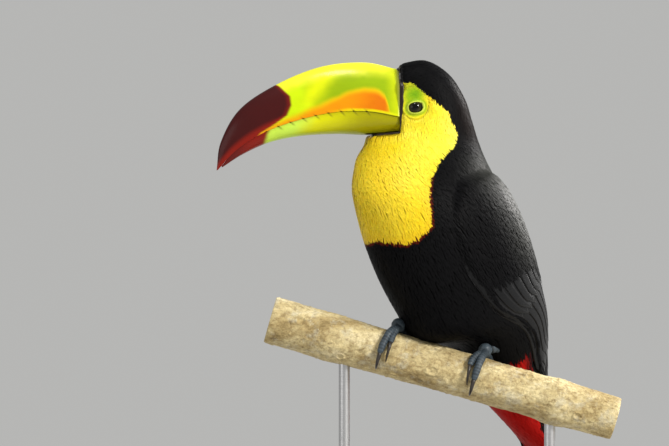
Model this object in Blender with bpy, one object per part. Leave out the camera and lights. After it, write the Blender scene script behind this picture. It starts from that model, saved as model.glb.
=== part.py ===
"""Keel-billed toucan, life size, perched on a short cut branch that a plain display stand holds up.

Lengths are millimetres until a mesh is made, which is in metres. The bird is laid out in its own
axes, "forward, left, up", about an upright line through its neck. The trunk is turned a good way
towards -Y and the head is turned back to look along -X, so the neck carries the twist between them.
Heights on the bird are counted from the top of the perch under it.
"""
import math

import bpy
import numpy as np

MM = 0.001
GAP = 0.3  # clearance where two pieces meet

# ---- driving dimensions -----------------------------------------------------------------------
PERCH_TOP = 195.0  # top of the perch, under the bird, above the floor
BIRD_AT = np.array([-16.0, -14.0, PERCH_TOP])  # the bird's upright line, over the stand's base
BODY_YAW = math.radians(42)  # from -X towards -Y
HEAD_YAW = math.radians(4)
TWIST = (6.2, 9.4)  # the stations between which the neck turns

# Rings of the plumage from the tail's root to the forehead: back (forward, up), front (forward, up),
# half width. The last rings fan about the chin, and their front ends are inside the bill.
STATIONS = {
    "tail_root": ((-107.6, -65.1), (-98.4, -72.9), 15.0),
    "undertail": ((-104.0, -38.0), (-79.0, -58.0), 18.0),
    "rump": ((-98.0, -4.0), (-51.0, -32.0), 31.0),
    "vent": ((-91.5, 26.0), (-29.0, -3.5), 41.0),
    "belly": ((-82.5, 56.0), (5.0, 8.0), 45.5),
    "low_breast": ((-72.0, 84.0), (32.5, 39.0), 46.0),
    "breast": ((-58.5, 109.0), (53.0, 76.0), 43.5),
    "shoulder": ((-43.5, 129.0), (61.0, 103.0), 37.0),
    "neck": ((-34.5, 144.5), (55.0, 126.0), 28.0),
    "throat": ((-29.5, 157.0), (47.5, 138.0), 22.5),
    "nape": ((-24.5, 172.0), (44.5, 143.0), 20.5),
    "hind_crown": ((-13.5, 189.0), (42.0, 145.5), 20.0),
    "crown": ((3.0, 199.0), (40.0, 147.0), 19.0),
    "forehead": ((21.0, 197.0), (38.0, 148.5), 17.0),
}
BACK, FRONT = (np.array([station[i] for station in STATIONS.values()]) for i in (0, 1))
HALF_WIDTH = np.array([station[2] for station in STATIONS.values()])
LAST = len(STATIONS) - 1.0
TRUNK_END, NECK_END = 6.5, 8.5  # stations of the two cuts
CUT = 0.011  # half a cut's width, in stations
HEAD_FORM = (8.0, 11.5)  # the stations between which the rings take on the head's form
HEAD_SQUARE, HEAD_MIDDLE = 0.6, 0.11  # squarer rings there, with their widest line nearer the back

# The bill's ridge, cutting edge and lower edge, each (forward, up) from base to tip.
BILL_BASE = 22.4
CULMEN = np.array(
    [(BILL_BASE, 192.8), (47, 197.6), (78, 194.2), (109, 181.4), (133.5, 164.5), (146.5, 142), (149.5, 122)]
)
TOMIUM = np.array(
    [(BILL_BASE, 159.3), (44, 163), (68, 162.4), (93, 157), (117, 148.2), (136, 136), (148.6, 122.4)]
)
GONYS = np.array(
    [(BILL_BASE, 149.8), (44, 147), (66, 147.6), (90, 146.2), (112, 141.8), (131, 133.4), (145.5, 124.2)]
)
BILL_HALF_WIDTH = np.array([18.0, 17.2, 15.2, 12.4, 9.0, 4.8, 0.7])
LOWER_WIDTH, LOWER_TIP = 0.94, 0.6  # the lower mandible's share of that width, and its blunt tip
UPPER_ROUND, LOWER_ROUND = 2.15, 2.7  # 2 is an oval section, more is squarer
BILL_KEEL = 0.2  # how much narrower the upper mandible is at its ridge
FACE_FROM, FACE_TAPER = 2.0, 0.07  # where the face begins to narrow to the bill, and by how much

EYE = np.array([10.6, 15.4, 166.8])  # forward, left, up, of the left eye's centre
EYE_RADIUS = 6.2

# The wing from its shoulder to its tip: edges in degrees round the body from its side, then heights.
WING_TOP, WING_TIP = 7.0, 0.4  # stations
WING_FRONT = np.array([-10, -20, -26, -22, -10, 0, 8, 28])
WING_REAR = np.array([54, 64, 70, 73, 75, 75, 68, 44])
WING_LIFT = np.array([0.7, 0.7, 0.7, 0.7, 0.7, 1.0, 2.6, 6.0])  # clear of the body below
WING_THICK = np.array([3.4, 5.2, 5.6, 4.8, 3.6, 3.0, 2.4, 1.6])
WING_EDGE = 0.8  # thickness at its edges
WING_ROUND = 0.16  # the share of its length that rounds the shoulder off

TAIL_LEAN = math.radians(40)  # from straight down, backwards
TAIL_LENGTH = 122.0
TAIL_HALF_WIDTH = np.array([14.8, 20.0, 23.5, 25.0, 26.0, 26.0, 21.5])
TAIL_ROOT_THICK, TAIL_THICK = 12.9, 1.6
TAIL_ROOF = 3.0  # how far its sides hang below its middle
TAIL_FEATHERS, TAIL_LOBE, TAIL_STEP = 10, 2.2, 15.0  # the outer feathers end a step short

PERCH_RADIUS = 15.8
PERCH_SLOPE = math.radians(16)
PERCH_AT = BIRD_AT + [0.0, 3.0, -14.4]  # a point on its middle line
PERCH_ENDS = (-112.0, 130.0)
PERCH_GRIP = (-43.0, 47.0)  # no swelling where the feet hold on
PERCH_KNOTS = {88.0: (9.0, 1.6), -70.0: (12.0, 0.8)}  # place: (half length, height)
PERCH_TAPER = 0.006

FEET_AT = {"right": -28.0, "left": 33.0}  # along the perch
PALM_RADIUS, PALM_LIFT = 4.8, 5.4
TOES = {  # outwards from the foot's line, way round the perch, length in degrees, radius
    "inner_front": (-2.8, 1, 55, 2.8),
    "outer_front": (2.2, 1, 84, 3.1),
    "inner_hind": (-5.0, -1, 44, 2.8),
    "outer_hind": (4.0, -1, 80, 3.0),
}
TOE_START = math.radians(10)
TOE_ROOT = -0.13  # where a toe begins inside the palm, as a share of its length
TOE_FORWARD = 5.0  # how far a front toe runs along the perch towards the bill, and a hind toe away
TOE_TAPER, TOE_LIFT = 0.24, 0.5
CLAW_ANGLE, CLAW_RETURN, CLAW_ARCH = 44, 0.35, 2.2
CLAW_WIDTH, CLAW_TIP = 0.72, 0.25  # against its toe's end, and its tip's radius
HEEL_BACK, HEEL_RISE = 32.0, 2.0  # the heel from the palm
SHANK_FROM, SHANK_RADIUS = 0.24, (2.9, 3.8)

BASE_REACH, BASE_THICK = (118.0, 84.0), 14.0
BASE_SQUARE = 0.8  # 1 is an oval, less is squarer
BASE_RINGS = ((1.0, 0.0), (0.0, 1.0), (0.0, 11.0), (0.9, 13.1), (3.0, BASE_THICK))  # inset, height
ROD_RADIUS, ROD_FOOT, ROD_HEAD = 4.0, 6.0, 4.0  # its foot above the floor, its head below the middle line
RODS_AT = {"left": -60.0, "right": 84.0}


# ---- curves and meshes ------------------------------------------------------------------------
def spline(values, at):
    """A smooth curve through values, which stand at 0, 1, 2 and so on."""
    values = np.asarray(values, float)
    at = np.clip(np.asarray(at, float), 0, len(values) - 1)
    slope = np.gradient(values, axis=0)
    i = np.minimum(at.astype(int), len(values) - 2)
    f = at - i
    if values.ndim > 1:
        f = f[..., None]
    start = (2 * f**3 - 3 * f**2 + 1) * values[i] + (f**3 - 2 * f**2 + f) * slope[i]
    end = (3 * f**2 - 2 * f**3) * values[i + 1] + (f**3 - f**2) * slope[i + 1]
    return start + end


def along(values, share):
    """The same curve, by its share from 0 to 1."""
    return spline(values, np.asarray(share) * (len(values) - 1))


def ease(x, start, end):
    x = np.clip((x - start) / (end - start), 0, 1)
    return x * x * (3 - 2 * x)


def oval(angle, roundness):
    """Across and up on a rounded oval: 2 is a true one, more is squarer."""
    across, up = np.cos(angle), np.sin(angle)
    return (np.sign(f) * np.abs(f) ** (2 / roundness) for f in (across, up))


def turned(forward, left, up, yaw):
    """The bird's axes to the frame's, for a part of the bird that is turned by yaw."""
    x = -forward * np.cos(yaw) + left * np.sin(yaw)
    y = -forward * np.sin(yaw) - left * np.cos(yaw)
    return np.stack(np.broadcast_arrays(x, y, up), -1) + BIRD_AT


def round_angles(count):
    return np.linspace(0, 2 * np.pi, count, endpoint=False)


def material(name, colour, roughness, metallic=0.0):
    made = bpy.data.materials.new(name)
    made.use_nodes = True
    shader = made.node_tree.nodes["Principled BSDF"]
    shader.inputs["Base Color"].default_value = (*colour, 1)
    shader.inputs["Roughness"].default_value = roughness
    shader.inputs["Metallic"].default_value = metallic
    return made


def tube(path, radii, around):
    """Rings along a path, each square to it, of the given radii."""
    path = np.asarray(path, float)
    way = np.gradient(path, axis=0)
    way /= np.linalg.norm(way, axis=1, keepdims=True)
    side = np.cross(way, [0.93, 0.21, 0.31])  # a direction that no path here takes
    side /= np.linalg.norm(side, axis=1, keepdims=True)
    other = np.cross(way, side)
    angle = round_angles(around)[None, :, None]
    spoke = side[:, None] * np.cos(angle) + other[:, None] * np.sin(angle)
    return path[:, None] + spoke * np.asarray(radii, float)[:, None, None]


def lofted(name, rings, finish):
    """One closed object over rings of equal count, capped with fans, its faces pointing out."""
    rings = np.asarray(rings, float)
    count, around = rings.shape[:2]
    points = np.concatenate([rings.reshape(-1, 3), rings[[0, -1]].mean(axis=1)])
    first, last = count * around, count * around + 1
    faces = []
    for j in range(around):
        k = (j + 1) % around
        for row in range(0, (count - 1) * around, around):
            faces.append((row + j, row + k, row + around + k, row + around + j))
        faces.append((first, k, j))
        faces.append((last, (count - 1) * around + j, (count - 1) * around + k))
    mesh = bpy.data.meshes.new(name)
    mesh.from_pydata((points * MM).tolist(), [], turned_out(points, faces))
    mesh.materials.append(finish)
    mesh.shade_smooth()
    mesh.set_sharp_from_angle(angle=math.radians(40))
    piece = bpy.data.objects.new(name, mesh)
    bpy.context.scene.collection.objects.link(piece)
    return piece


def turned_out(points, faces):
    """The faces, reversed if the volume they bound is negative."""
    points = points - points.mean(axis=0)
    volume = 0.0
    for face in faces:
        corner = points[list(face)]
        for i in range(1, len(face) - 1):
            volume += np.dot(corner[0], np.cross(corner[i], corner[i + 1]))
    return faces if volume > 0 else [face[::-1] for face in faces]


def cut(piece, cutter, operation="DIFFERENCE"):
    boolean = piece.modifiers.new(cutter.name, "BOOLEAN")
    boolean.operation = operation
    boolean.solver = "EXACT"
    boolean.object = cutter
    cutter.hide_render = True
    cutter.display_type = "WIRE"


# ---- plumage of head, neck and trunk ----------------------------------------------------------
def plumage(t, angle):
    """The coat's surface: t along the stations, angle round from the bird's left over its back."""
    t, angle = np.broadcast_arrays(np.asarray(t, float), angle)
    back, front = spline(BACK, t), spline(FRONT, t)
    head = ease(t, *HEAD_FORM)
    middle = front + (0.5 + HEAD_MIDDLE * head)[..., None] * (back - front)
    across, rise = oval(angle, 2 + HEAD_SQUARE * head)
    reach = np.where(rise[..., None] > 0, back - middle, middle - front)
    profile = middle + reach * rise[..., None]
    face = 1 - FACE_TAPER * head * ease(profile[..., 0], FACE_FROM, BILL_BASE)
    yaw = BODY_YAW + (HEAD_YAW - BODY_YAW) * ease(t, *TWIST)
    return turned(profile[..., 0], spline(HALF_WIDTH, t) * across * face, profile[..., 1], yaw)


def outward(t, angle):
    """The plumage surface's outward direction."""
    step = 0.01
    along_body = plumage(t + step, angle) - plumage(t - step, angle)
    round_body = plumage(t, angle + step) - plumage(t, angle - step)
    normal = np.cross(round_body, along_body)
    return normal / np.linalg.norm(normal, axis=-1, keepdims=True)


def flesh(name, start, end, rings, finish, around=30):
    """The stretch of the bird between two stations, capped flat."""
    t = np.linspace(start, end, rings)[:, None]
    return lofted(name, plumage(t, round_angles(around)[None]), finish)


def bill_room(finish, reach=40.0, wide=40.0, top=230.0):
    """The space in front of the face and above the chin, which the bill fills."""
    base = BILL_BASE - GAP
    forward = np.linspace(base, base + reach, 6)
    low = np.interp(forward, GONYS[:, 0], GONYS[:, 1]) - GAP
    forward, up = np.append(forward, [base + reach, base]), np.append(low, [top, top])
    return lofted("bill_room", [turned(forward, side, up, HEAD_YAW) for side in (-wide, wide)], finish)


# ---- eyes --------------------------------------------------------------------------------------
def ball(centre, radius, rings=8, around=12, pole=0.12):
    lean = np.linspace(pole, np.pi - pole, rings)[:, None]
    angle = round_angles(around)[None]
    spoke = (np.sin(lean) * np.cos(angle), np.sin(lean) * np.sin(angle), np.cos(lean))
    return centre + radius * np.stack(np.broadcast_arrays(*spoke), -1)


def eyes(head, finish):
    for side, sign in (("left", 1), ("right", -1)):
        centre = turned(EYE[0], sign * EYE[1], EYE[2], HEAD_YAW)
        lofted(f"eye_{side}", ball(centre, EYE_RADIUS), finish)
        cut(head, lofted(f"socket_{side}", ball(centre, EYE_RADIUS + GAP), finish))


# ---- bill --------------------------------------------------------------------------------------
def mandible(edge, ridge, width, roundness, keel, rings, arch):
    """Rings over a mandible: an arch from one cutting edge over the ridge to the other, and flat
    between the edges."""
    share = np.linspace(0, 1, rings)
    wide, high = oval(np.linspace(0, np.pi, arch), roundness)
    flat = np.linspace(-1, 1, 5)[1:-1]
    wide, high = np.append(wide * (1 - keel * high), flat), np.append(high, 0 * flat)
    foot, top = along(edge, share)[:, None], along(ridge, share)[:, None]
    profile = foot + (top - foot) * high[None, :, None]
    return turned(profile[..., 0], along(width, share)[:, None] * wide, profile[..., 1], HEAD_YAW)


def bill(finish):
    upper = mandible(TOMIUM, CULMEN, BILL_HALF_WIDTH, UPPER_ROUND, BILL_KEEL, rings=20, arch=11)
    lofted("bill_upper", upper, finish)
    edge = TOMIUM - [0.0, GAP]
    edge[-1] = GONYS[-1] + [LOWER_TIP, 1.5 * LOWER_TIP]  # the lower mandible ends short of the hook
    width = np.maximum(BILL_HALF_WIDTH * LOWER_WIDTH, LOWER_TIP)
    lofted("bill_lower", mandible(edge, GONYS, width, LOWER_ROUND, 0.0, rings=18, arch=9), finish)


# ---- wings and tail ----------------------------------------------------------------------------
def wing(side, finish, rings=17, across=8):
    """A folded wing: a shell on the plumage surface between its front and rear edge, thick over the
    shoulder and thin towards the tip."""
    share = np.linspace(0, 1, rings)[:, None] ** 1.3
    over = np.linspace(0, 1, across)[None]
    t = WING_TOP + (WING_TIP - WING_TOP) * share + 0 * over
    front, rear = along(WING_FRONT, share), along(WING_REAR, share)
    rounded = np.sqrt(1 - (1 - np.clip(share / WING_ROUND, 0.01, 1)) ** 2)
    angle = np.radians((front + rear) / 2 + (rear - front) * rounded * (over - 0.5))
    if side == "right":
        angle = np.pi - angle
    crown = (4 * over * (1 - over)) ** 0.6
    inner = along(WING_LIFT, share)
    outer = inner + WING_EDGE + (along(WING_THICK, share) - WING_EDGE) * crown * rounded
    base, normal = plumage(t, angle), outward(t, angle)
    top, under = base + normal * outer[..., None], base + normal * inner[..., None]
    return lofted(f"wing_{side}", np.concatenate([top, under[:, ::-1]], axis=1), finish)


def tail(finish, rings=11, across=17):
    """The closed tail: a shallow roof of feathers, round at its root, the middle pair longest."""
    share = np.linspace(0, 1, rings)[:, None]
    over = np.linspace(-1, 1, across)[None]
    lobe = TAIL_LOBE * np.abs(np.cos(over * np.pi * TAIL_FEATHERS / 2)) - TAIL_STEP * np.abs(over) ** 1.8
    length = TAIL_LENGTH + lobe * ease(share, 0.5, 1.0)
    down = np.array([-math.sin(TAIL_LEAN), -math.cos(TAIL_LEAN)])
    up = np.array([-math.cos(TAIL_LEAN), math.sin(TAIL_LEAN)])
    root = (BACK[0] + FRONT[0]) / 2 + down * GAP
    half = along(TAIL_HALF_WIDTH, share)
    roof = -TAIL_ROOF * over**2 * ease(share, 0, 0.5)
    round_root = np.sqrt(np.maximum(1 - over**2, 0.02)) ** (1 - ease(share, 0.1, 0.6))
    thick = (TAIL_THICK + (TAIL_ROOT_THICK - TAIL_THICK) * (1 - ease(share, 0, 0.45))) * round_root
    sheets = []
    for sign in (0.5, -0.5):
        profile = root + (share * length)[..., None] * down + (roof + sign * thick)[..., None] * up
        sheets.append(turned(profile[..., 0], half * over, profile[..., 1], BODY_YAW))
    return lofted("tail", np.concatenate([sheets[0], sheets[1][:, ::-1]], axis=1), finish)


# ---- perch -------------------------------------------------------------------------------------
def perch_point(x, angle, radius):
    """A point round the perch's middle line: angle runs from its top towards -Y."""
    way = np.array([1.0, 0, -math.tan(PERCH_SLOPE)])
    top = np.array([math.sin(PERCH_SLOPE), 0, math.cos(PERCH_SLOPE)])
    side = np.array([0, -1.0, 0])
    x, angle, radius = (f[..., None] for f in np.broadcast_arrays(x, angle, radius))
    return PERCH_AT + way * x + (top * np.cos(angle) + side * np.sin(angle)) * radius


def perch(finish, rings=13, around=20):
    """A cut length of branch, a little thinner to its right end, with two knots."""
    x = np.linspace(*PERCH_ENDS, rings)[:, None]
    angle = round_angles(around)[None]
    radius = PERCH_RADIUS - PERCH_TAPER * x
    for at, (half_length, height) in PERCH_KNOTS.items():
        radius = radius + height * np.exp(-(((x - at) / half_length) ** 2)) * (1 + 0.5 * np.cos(angle - 2))
    held = (x > PERCH_GRIP[0]) & (x < PERCH_GRIP[1])
    radius = np.where(held, np.minimum(radius, PERCH_RADIUS), radius)
    return lofted("perch", perch_point(x, angle, radius), finish)


# ---- legs --------------------------------------------------------------------------------------
def toe_line(side, toe, share):
    """Where a toe runs: along the perch by its share, and the angle round the perch. It bows out up to
    its end, and past that, where its claw is, it comes back a little."""
    out, way, length, _radius = TOES[toe]
    outwards = -out if side == "right" else out
    bow = 1 - np.where(share < 1, 1.0, CLAW_RETURN) * (1 - share) ** 2
    drift = (outwards - way * TOE_FORWARD) * bow
    return FEET_AT[side] + drift, way * (TOE_START + math.radians(length) * share)


def palm_at(side):
    return perch_point(FEET_AT[side], 0.0, PERCH_RADIUS + PALM_LIFT)


def foot(side, finish, grow=0.0):
    """The palm with its two front and two hind toes, gripping the perch. A grown foot is the room
    that it takes in the belly."""
    kind = "foot_room" if grow else "foot"
    palm = lofted(f"{kind}_{side}", ball(palm_at(side), PALM_RADIUS + grow, 6, 10), finish)
    for toe, (_out, _way, _length, radius) in TOES.items():
        share = np.linspace(TOE_ROOT, 1, 6)
        x, angle = toe_line(side, toe, share)
        radii = radius * (1 - TOE_TAPER * share)
        path = perch_point(x, angle, PERCH_RADIUS + TOE_LIFT + radii)
        cut(palm, lofted(f"{kind}_{side}_{toe}", tube(path, radii + grow, 7), finish), "UNION")
    return palm


def claw(side, toe, finish, grow=0.0):
    """A curved claw that carries on from its toe and comes down to the perch."""
    kind = "claw_room" if grow else "claw"
    _out, _way, length, radius = TOES[toe]
    width = radius * (1 - TOE_TAPER)
    share = np.linspace(0, 1, 6)
    start = math.degrees(2 * GAP / (PERCH_RADIUS + width))
    x, angle = toe_line(side, toe, 1 + (start + CLAW_ANGLE * share) / length)
    lift = TOE_LIFT + width * (1 - share) + CLAW_ARCH * np.sin(np.pi * share**0.8)
    path = perch_point(x, angle, PERCH_RADIUS + lift)
    radii = CLAW_WIDTH * width * (1 - share) ** 0.75 + CLAW_TIP + grow
    return lofted(f"{kind}_{side}_{toe}", tube(path, radii, 6), finish)


def leg(side, finish, grow=0.0):
    """The shank, which lies low over the perch from the palm back to the heel in the belly."""
    kind = "leg_room" if grow else "leg"
    heel = turned(-HEEL_BACK, 0.0, HEEL_RISE, BODY_YAW) - BIRD_AT
    share = np.linspace(SHANK_FROM, 1, 5)
    radii = np.interp(share, (SHANK_FROM, 1), SHANK_RADIUS) + grow
    return lofted(f"{kind}_{side}", tube(palm_at(side) + heel * share[:, None], radii, 8), finish)


def legs(trunk, skin, horn):
    for side in FEET_AT:
        leg(side, skin)
        leg_room = leg(side, skin, GAP)
        cut(foot(side, skin), leg_room)
        cut(trunk, foot(side, skin, GAP))
        cut(trunk, leg_room)
        for toe in TOES:
            claw(side, toe, horn)
            if toe.endswith("hind"):
                cut(trunk, claw(side, toe, horn, GAP))


# ---- stand -------------------------------------------------------------------------------------
def rod(name, x, grow, finish):
    """An upright rod under the perch at x, or with some growth the hole for it."""
    low, high = ROD_FOOT - grow, perch_point(x, 0.0, 0.0)[2] - ROD_HEAD + grow
    path = [perch_point(x, 0.0, 0.0) * [1, 1, 0] + [0, 0, z] for z in (low, high)]
    return lofted(name, tube(path, [ROD_RADIUS + grow] * 2, 16), finish)


def stand(branch, wood, steel):
    """An oval base with a rounded top edge, and two rods that run into the perch from below."""
    across, along_y = oval(round_angles(36), 2 / BASE_SQUARE)
    rings = []
    for inset, z in BASE_RINGS:
        x, y = (BASE_REACH[0] - inset) * across, (BASE_REACH[1] - inset) * along_y
        rings.append(np.stack([x, y, np.full_like(x, z)], -1))
    base = lofted("stand_base", rings, wood)
    for side, x in RODS_AT.items():
        rod(f"stand_rod_{side}", x, 0.0, steel)
        room = rod(f"rod_room_{side}", x, GAP, steel)
        cut(base, room)
        cut(branch, room)


def main():
    for piece in list(bpy.data.objects):
        bpy.data.objects.remove(piece)
    black = material("black_plumage", (0.012, 0.012, 0.014), 0.55)
    yellow = material("yellow_plumage", (0.90, 0.68, 0.03), 0.6)
    head = flesh("head", NECK_END + CUT, LAST, 12, black)
    flesh("neck", TRUNK_END + CUT, NECK_END - CUT, 6, yellow)
    trunk = flesh("trunk", 0.0, TRUNK_END - CUT, 17, black)
    cut(head, bill_room(black))
    eyes(head, material("eye_glass", (0.01, 0.015, 0.008), 0.06))
    bill(material("bill_horn", (0.55, 0.66, 0.03), 0.28))
    wing("left", black)
    wing("right", black)
    tail(black)
    foot_skin = material("foot_skin", (0.10, 0.15, 0.19), 0.5)
    legs(trunk, foot_skin, material("claw_horn", (0.03, 0.03, 0.035), 0.35))
    branch = perch(material("bark", (0.50, 0.38, 0.20), 0.85))
    base_wood = material("base_wood", (0.16, 0.09, 0.05), 0.45)
    stand(branch, base_wood, material("steel", (0.62, 0.62, 0.63), 0.3, 1.0))


main()
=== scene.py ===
import math

import bpy
import mathutils
import numpy as np
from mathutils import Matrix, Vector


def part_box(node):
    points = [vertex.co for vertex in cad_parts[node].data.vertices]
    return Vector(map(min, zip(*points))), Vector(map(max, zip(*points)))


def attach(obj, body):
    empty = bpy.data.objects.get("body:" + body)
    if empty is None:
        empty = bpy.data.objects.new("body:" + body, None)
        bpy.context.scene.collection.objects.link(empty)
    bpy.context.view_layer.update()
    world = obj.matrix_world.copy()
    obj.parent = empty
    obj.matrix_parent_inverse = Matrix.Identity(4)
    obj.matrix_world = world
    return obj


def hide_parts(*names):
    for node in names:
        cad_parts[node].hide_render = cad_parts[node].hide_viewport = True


# A life-size keel-billed toucan, mounted on a short cut branch that a plain display stand holds up.
# The pieces come in the order in which such a model is put together, from the board to the feathers.
# Lengths are millimetres until a mesh is made. The bird is laid out in its own axes, "forward, left,
# up", about an upright line through its neck, and its heights are counted from the top of the perch.
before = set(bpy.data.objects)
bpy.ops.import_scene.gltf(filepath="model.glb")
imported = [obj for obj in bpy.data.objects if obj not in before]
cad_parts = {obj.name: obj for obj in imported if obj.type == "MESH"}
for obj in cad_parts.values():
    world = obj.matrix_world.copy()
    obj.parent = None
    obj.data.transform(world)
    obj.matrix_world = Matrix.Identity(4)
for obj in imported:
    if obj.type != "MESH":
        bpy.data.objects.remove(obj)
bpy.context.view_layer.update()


# ==== base board =================================================================================
# A flat oval board of dark stained hardwood with its top edge rounded over. It is sawn, sanded and
# waxed, and the two rods are let into it.
MM = 0.001
TURN = 2 * math.pi
BOARD_SQUARE = 0.8  # 1 is an oval, less is squarer
BOARD_ROUND = 3.0  # radius of the rounded top edge
BOARD_FOOT = ((1.0, 0.0), (0.25, 0.25), (0.0, 1.0))  # the eased lower edge: in from the side, and up
BOARD_ROWS = (8, 30, 60, 78)  # how far in from the side the rows of points across the top lie
WALNUT = [(0.24, (0.030, 0.014, 0.007)), (0.5, (0.088, 0.043, 0.022)), (0.76, (0.150, 0.078, 0.040))]
WALNUT_PORE = (0.020, 0.010, 0.006)


def round_angles(count):
    """Angles evenly round a full turn."""
    return np.linspace(0, TURN, count, endpoint=False)


def oval(angle, roundness):
    """Across and up on a rounded oval: cosine and sine, each raised to 2 / roundness with its sign."""
    across, up = np.cos(angle), np.sin(angle)
    return (np.sign(f) * np.abs(f) ** (2 / roundness) for f in (across, up))


def stacked(*parts):
    """Coordinates, given one by one, as an array of points."""
    return np.stack(np.broadcast_arrays(*parts), -1)


def grid_faces(rows, around):
    """Quads between neighbouring rows of points, where each row runs round to its own start."""
    row = np.arange(rows - 1)[:, None] * around
    here = np.arange(around)[None]
    there = (here + 1) % around
    return np.stack([row + here, row + there, row + around + there, row + around + here], -1).reshape(-1, 4)


def closed_rings(rings):
    """Points and faces of a closed surface over rings of equal count: quads between the rings, and a
    fan of triangles from the middle of each end ring."""
    count, around = rings.shape[:2]
    points = np.concatenate([rings.reshape(-1, 3), rings[[0, -1]].mean(1)])
    here = np.arange(around)
    there = np.roll(here, -1)
    last = (count - 1) * around
    first_fan = np.stack([there, here, np.full(around, count * around)], -1)
    last_fan = np.stack([last + here, last + there, np.full(around, count * around + 1)], -1)
    return points, [grid_faces(count, around), np.concatenate([first_fan, last_fan])]


def volume(points, face_sets):
    """Six times the volume that the faces bound: the sum of triple products of their triangles."""
    total = 0.0
    for faces in face_sets:
        for i in range(1, faces.shape[1] - 1):
            one, two, three = points[faces[:, 0]], points[faces[:, i]], points[faces[:, i + 1]]
            total += np.einsum("ij,ij->", one, np.cross(two, three))
    return total


def piece(name, shape, finish, stands_for=(), fields=None, crease=None, bake_map=None):
    """A finished piece of the model: its mesh in metres, with its faces turned outwards by the sign
    of their volume, values for its material at each point, and the solids that it stands for."""
    points, face_sets = shape
    if volume(points - points.mean(0), face_sets) < 0:
        face_sets = [faces[:, ::-1] for faces in face_sets]
    mesh = bpy.data.meshes.new(name)
    corners = np.concatenate([faces.ravel() for faces in face_sets]).astype(np.int32)
    sizes = np.concatenate([np.full(len(faces), faces.shape[1]) for faces in face_sets])
    mesh.vertices.add(len(points))
    mesh.vertices.foreach_set("co", (points * MM).astype(np.float32).ravel())
    mesh.loops.add(len(corners))
    mesh.loops.foreach_set("vertex_index", corners)
    mesh.polygons.add(len(sizes))
    mesh.polygons.foreach_set("loop_start", (np.cumsum(sizes) - sizes).astype(np.int32))
    for key, values in (fields or {}).items():
        kind, target = {1: ("FLOAT", "value"), 2: ("FLOAT_VECTOR", "vector")}[values.ndim]
        made = mesh.attributes.new(key, kind, "POINT")
        made.data.foreach_set(target, values.astype(np.float32).ravel())
    if bake_map is not None:
        layer = mesh.uv_layers.new(name="OFBake", do_init=False)
        layer.uv.foreach_set("vector", bake_map[corners].astype(np.float32).ravel())
    mesh.update(calc_edges=True)
    mesh.materials.append(finish)
    mesh.shade_smooth()
    if crease:
        mesh.set_sharp_from_angle(angle=math.radians(crease))
    made = bpy.data.objects.new(name, mesh)
    bpy.context.scene.collection.objects.link(made)
    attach(made, "root")
    if stands_for:
        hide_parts(*stands_for)
    return made


def finish_of(name, **plain):
    """A Principled material with its plain sockets set: the material, its node tree, its shader."""
    made = bpy.data.materials.new(name)
    made.use_nodes = True
    shader = made.node_tree.nodes["Principled BSDF"]
    for socket, value in plain.items():
        shader.inputs[socket.replace("_", " ")].default_value = value
    return made, made.node_tree, shader


def add(tree, kind, inputs=(), **settings):
    """One node: its settings, then each of its inputs as a fixed value or as a link."""
    made = tree.nodes.new("ShaderNode" + kind)
    for key, value in settings.items():
        setattr(made, key, value)
    for key, value in dict(inputs).items():
        if isinstance(value, bpy.types.NodeSocket):
            tree.links.new(value, made.inputs[key])
        else:
            made.inputs[key].default_value = value
    return made


def spots(tree, scale, detail=3.0, stretch=(1, 1, 1), lean=(0, 0, 0), roughness=0.5, warp=0.0):
    """Noise from 0 to 1 on the piece's own coordinates, turned and stretched by a mapping."""
    place = add(tree, "TexCoord").outputs["Object"]
    mapped = add(tree, "Mapping", {"Vector": place, "Scale": stretch, "Rotation": lean})
    inputs = {"Vector": mapped.outputs[0], "Scale": scale, "Detail": detail, "Roughness": roughness,
              "Distortion": warp}
    return add(tree, "TexNoise", inputs).outputs["Fac"]


def ramp(tree, share, stops):
    """Colours or greys by share, from (share, colour) stops."""
    made = add(tree, "ValToRGB", {"Fac": share})
    while len(made.color_ramp.elements) < len(stops):
        made.color_ramp.elements.new(0.5)
    for element, (at, colour) in zip(made.color_ramp.elements, stops):
        element.position = at
        element.color = (*(colour if np.ndim(colour) else (colour,) * 3), 1)
    return made.outputs[0]


def mixed(tree, share, first, second, mode="MIX"):
    """Two colours mixed, or one laid over the other by a mode, in some share."""
    first, second = (c if isinstance(c, bpy.types.NodeSocket) else (*c, 1) for c in (first, second))
    made = add(tree, "Mix", {0: share, 6: first, 7: second}, data_type="RGBA", blend_type=mode)
    return made.outputs[2]


def feed(tree, shader, socket, source):
    """Links a source to one of the shader's sockets."""
    tree.links.new(source, shader.inputs[socket])


def relief(tree, shader, height, depth, strength=1.0, under=None):
    """A bump: height from 0 to 1 stands for that depth, in millimetres, over any bump below it."""
    inputs = {"Height": height, "Distance": depth * MM, "Strength": strength}
    if under:
        inputs["Normal"] = under
    made = add(tree, "Bump", inputs).outputs[0]
    feed(tree, shader, "Normal", made)
    return made


def waxed_wood():
    """Straight grain along the board: stretched noise through browns, with fine dark pores."""
    made, tree, shader = finish_of("waxed_walnut", Coat_Weight=0.1, Coat_Roughness=0.25)
    figure = spots(tree, 9.0, 5.0, stretch=(1, 9, 9), roughness=0.62, warp=0.7)
    pores = spots(tree, 120.0, 2.0, stretch=(1, 16, 16))
    pore = ramp(tree, pores, [(0.34, 0.0), (0.46, 1.0)])
    feed(tree, shader, "Base Color", mixed(tree, pore, WALNUT_PORE, ramp(tree, figure, WALNUT)))
    feed(tree, shader, "Roughness", ramp(tree, figure, [(0.3, 0.46), (0.7, 0.34)]))
    relief(tree, shader, pore, 0.12, 0.6)
    return made


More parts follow.
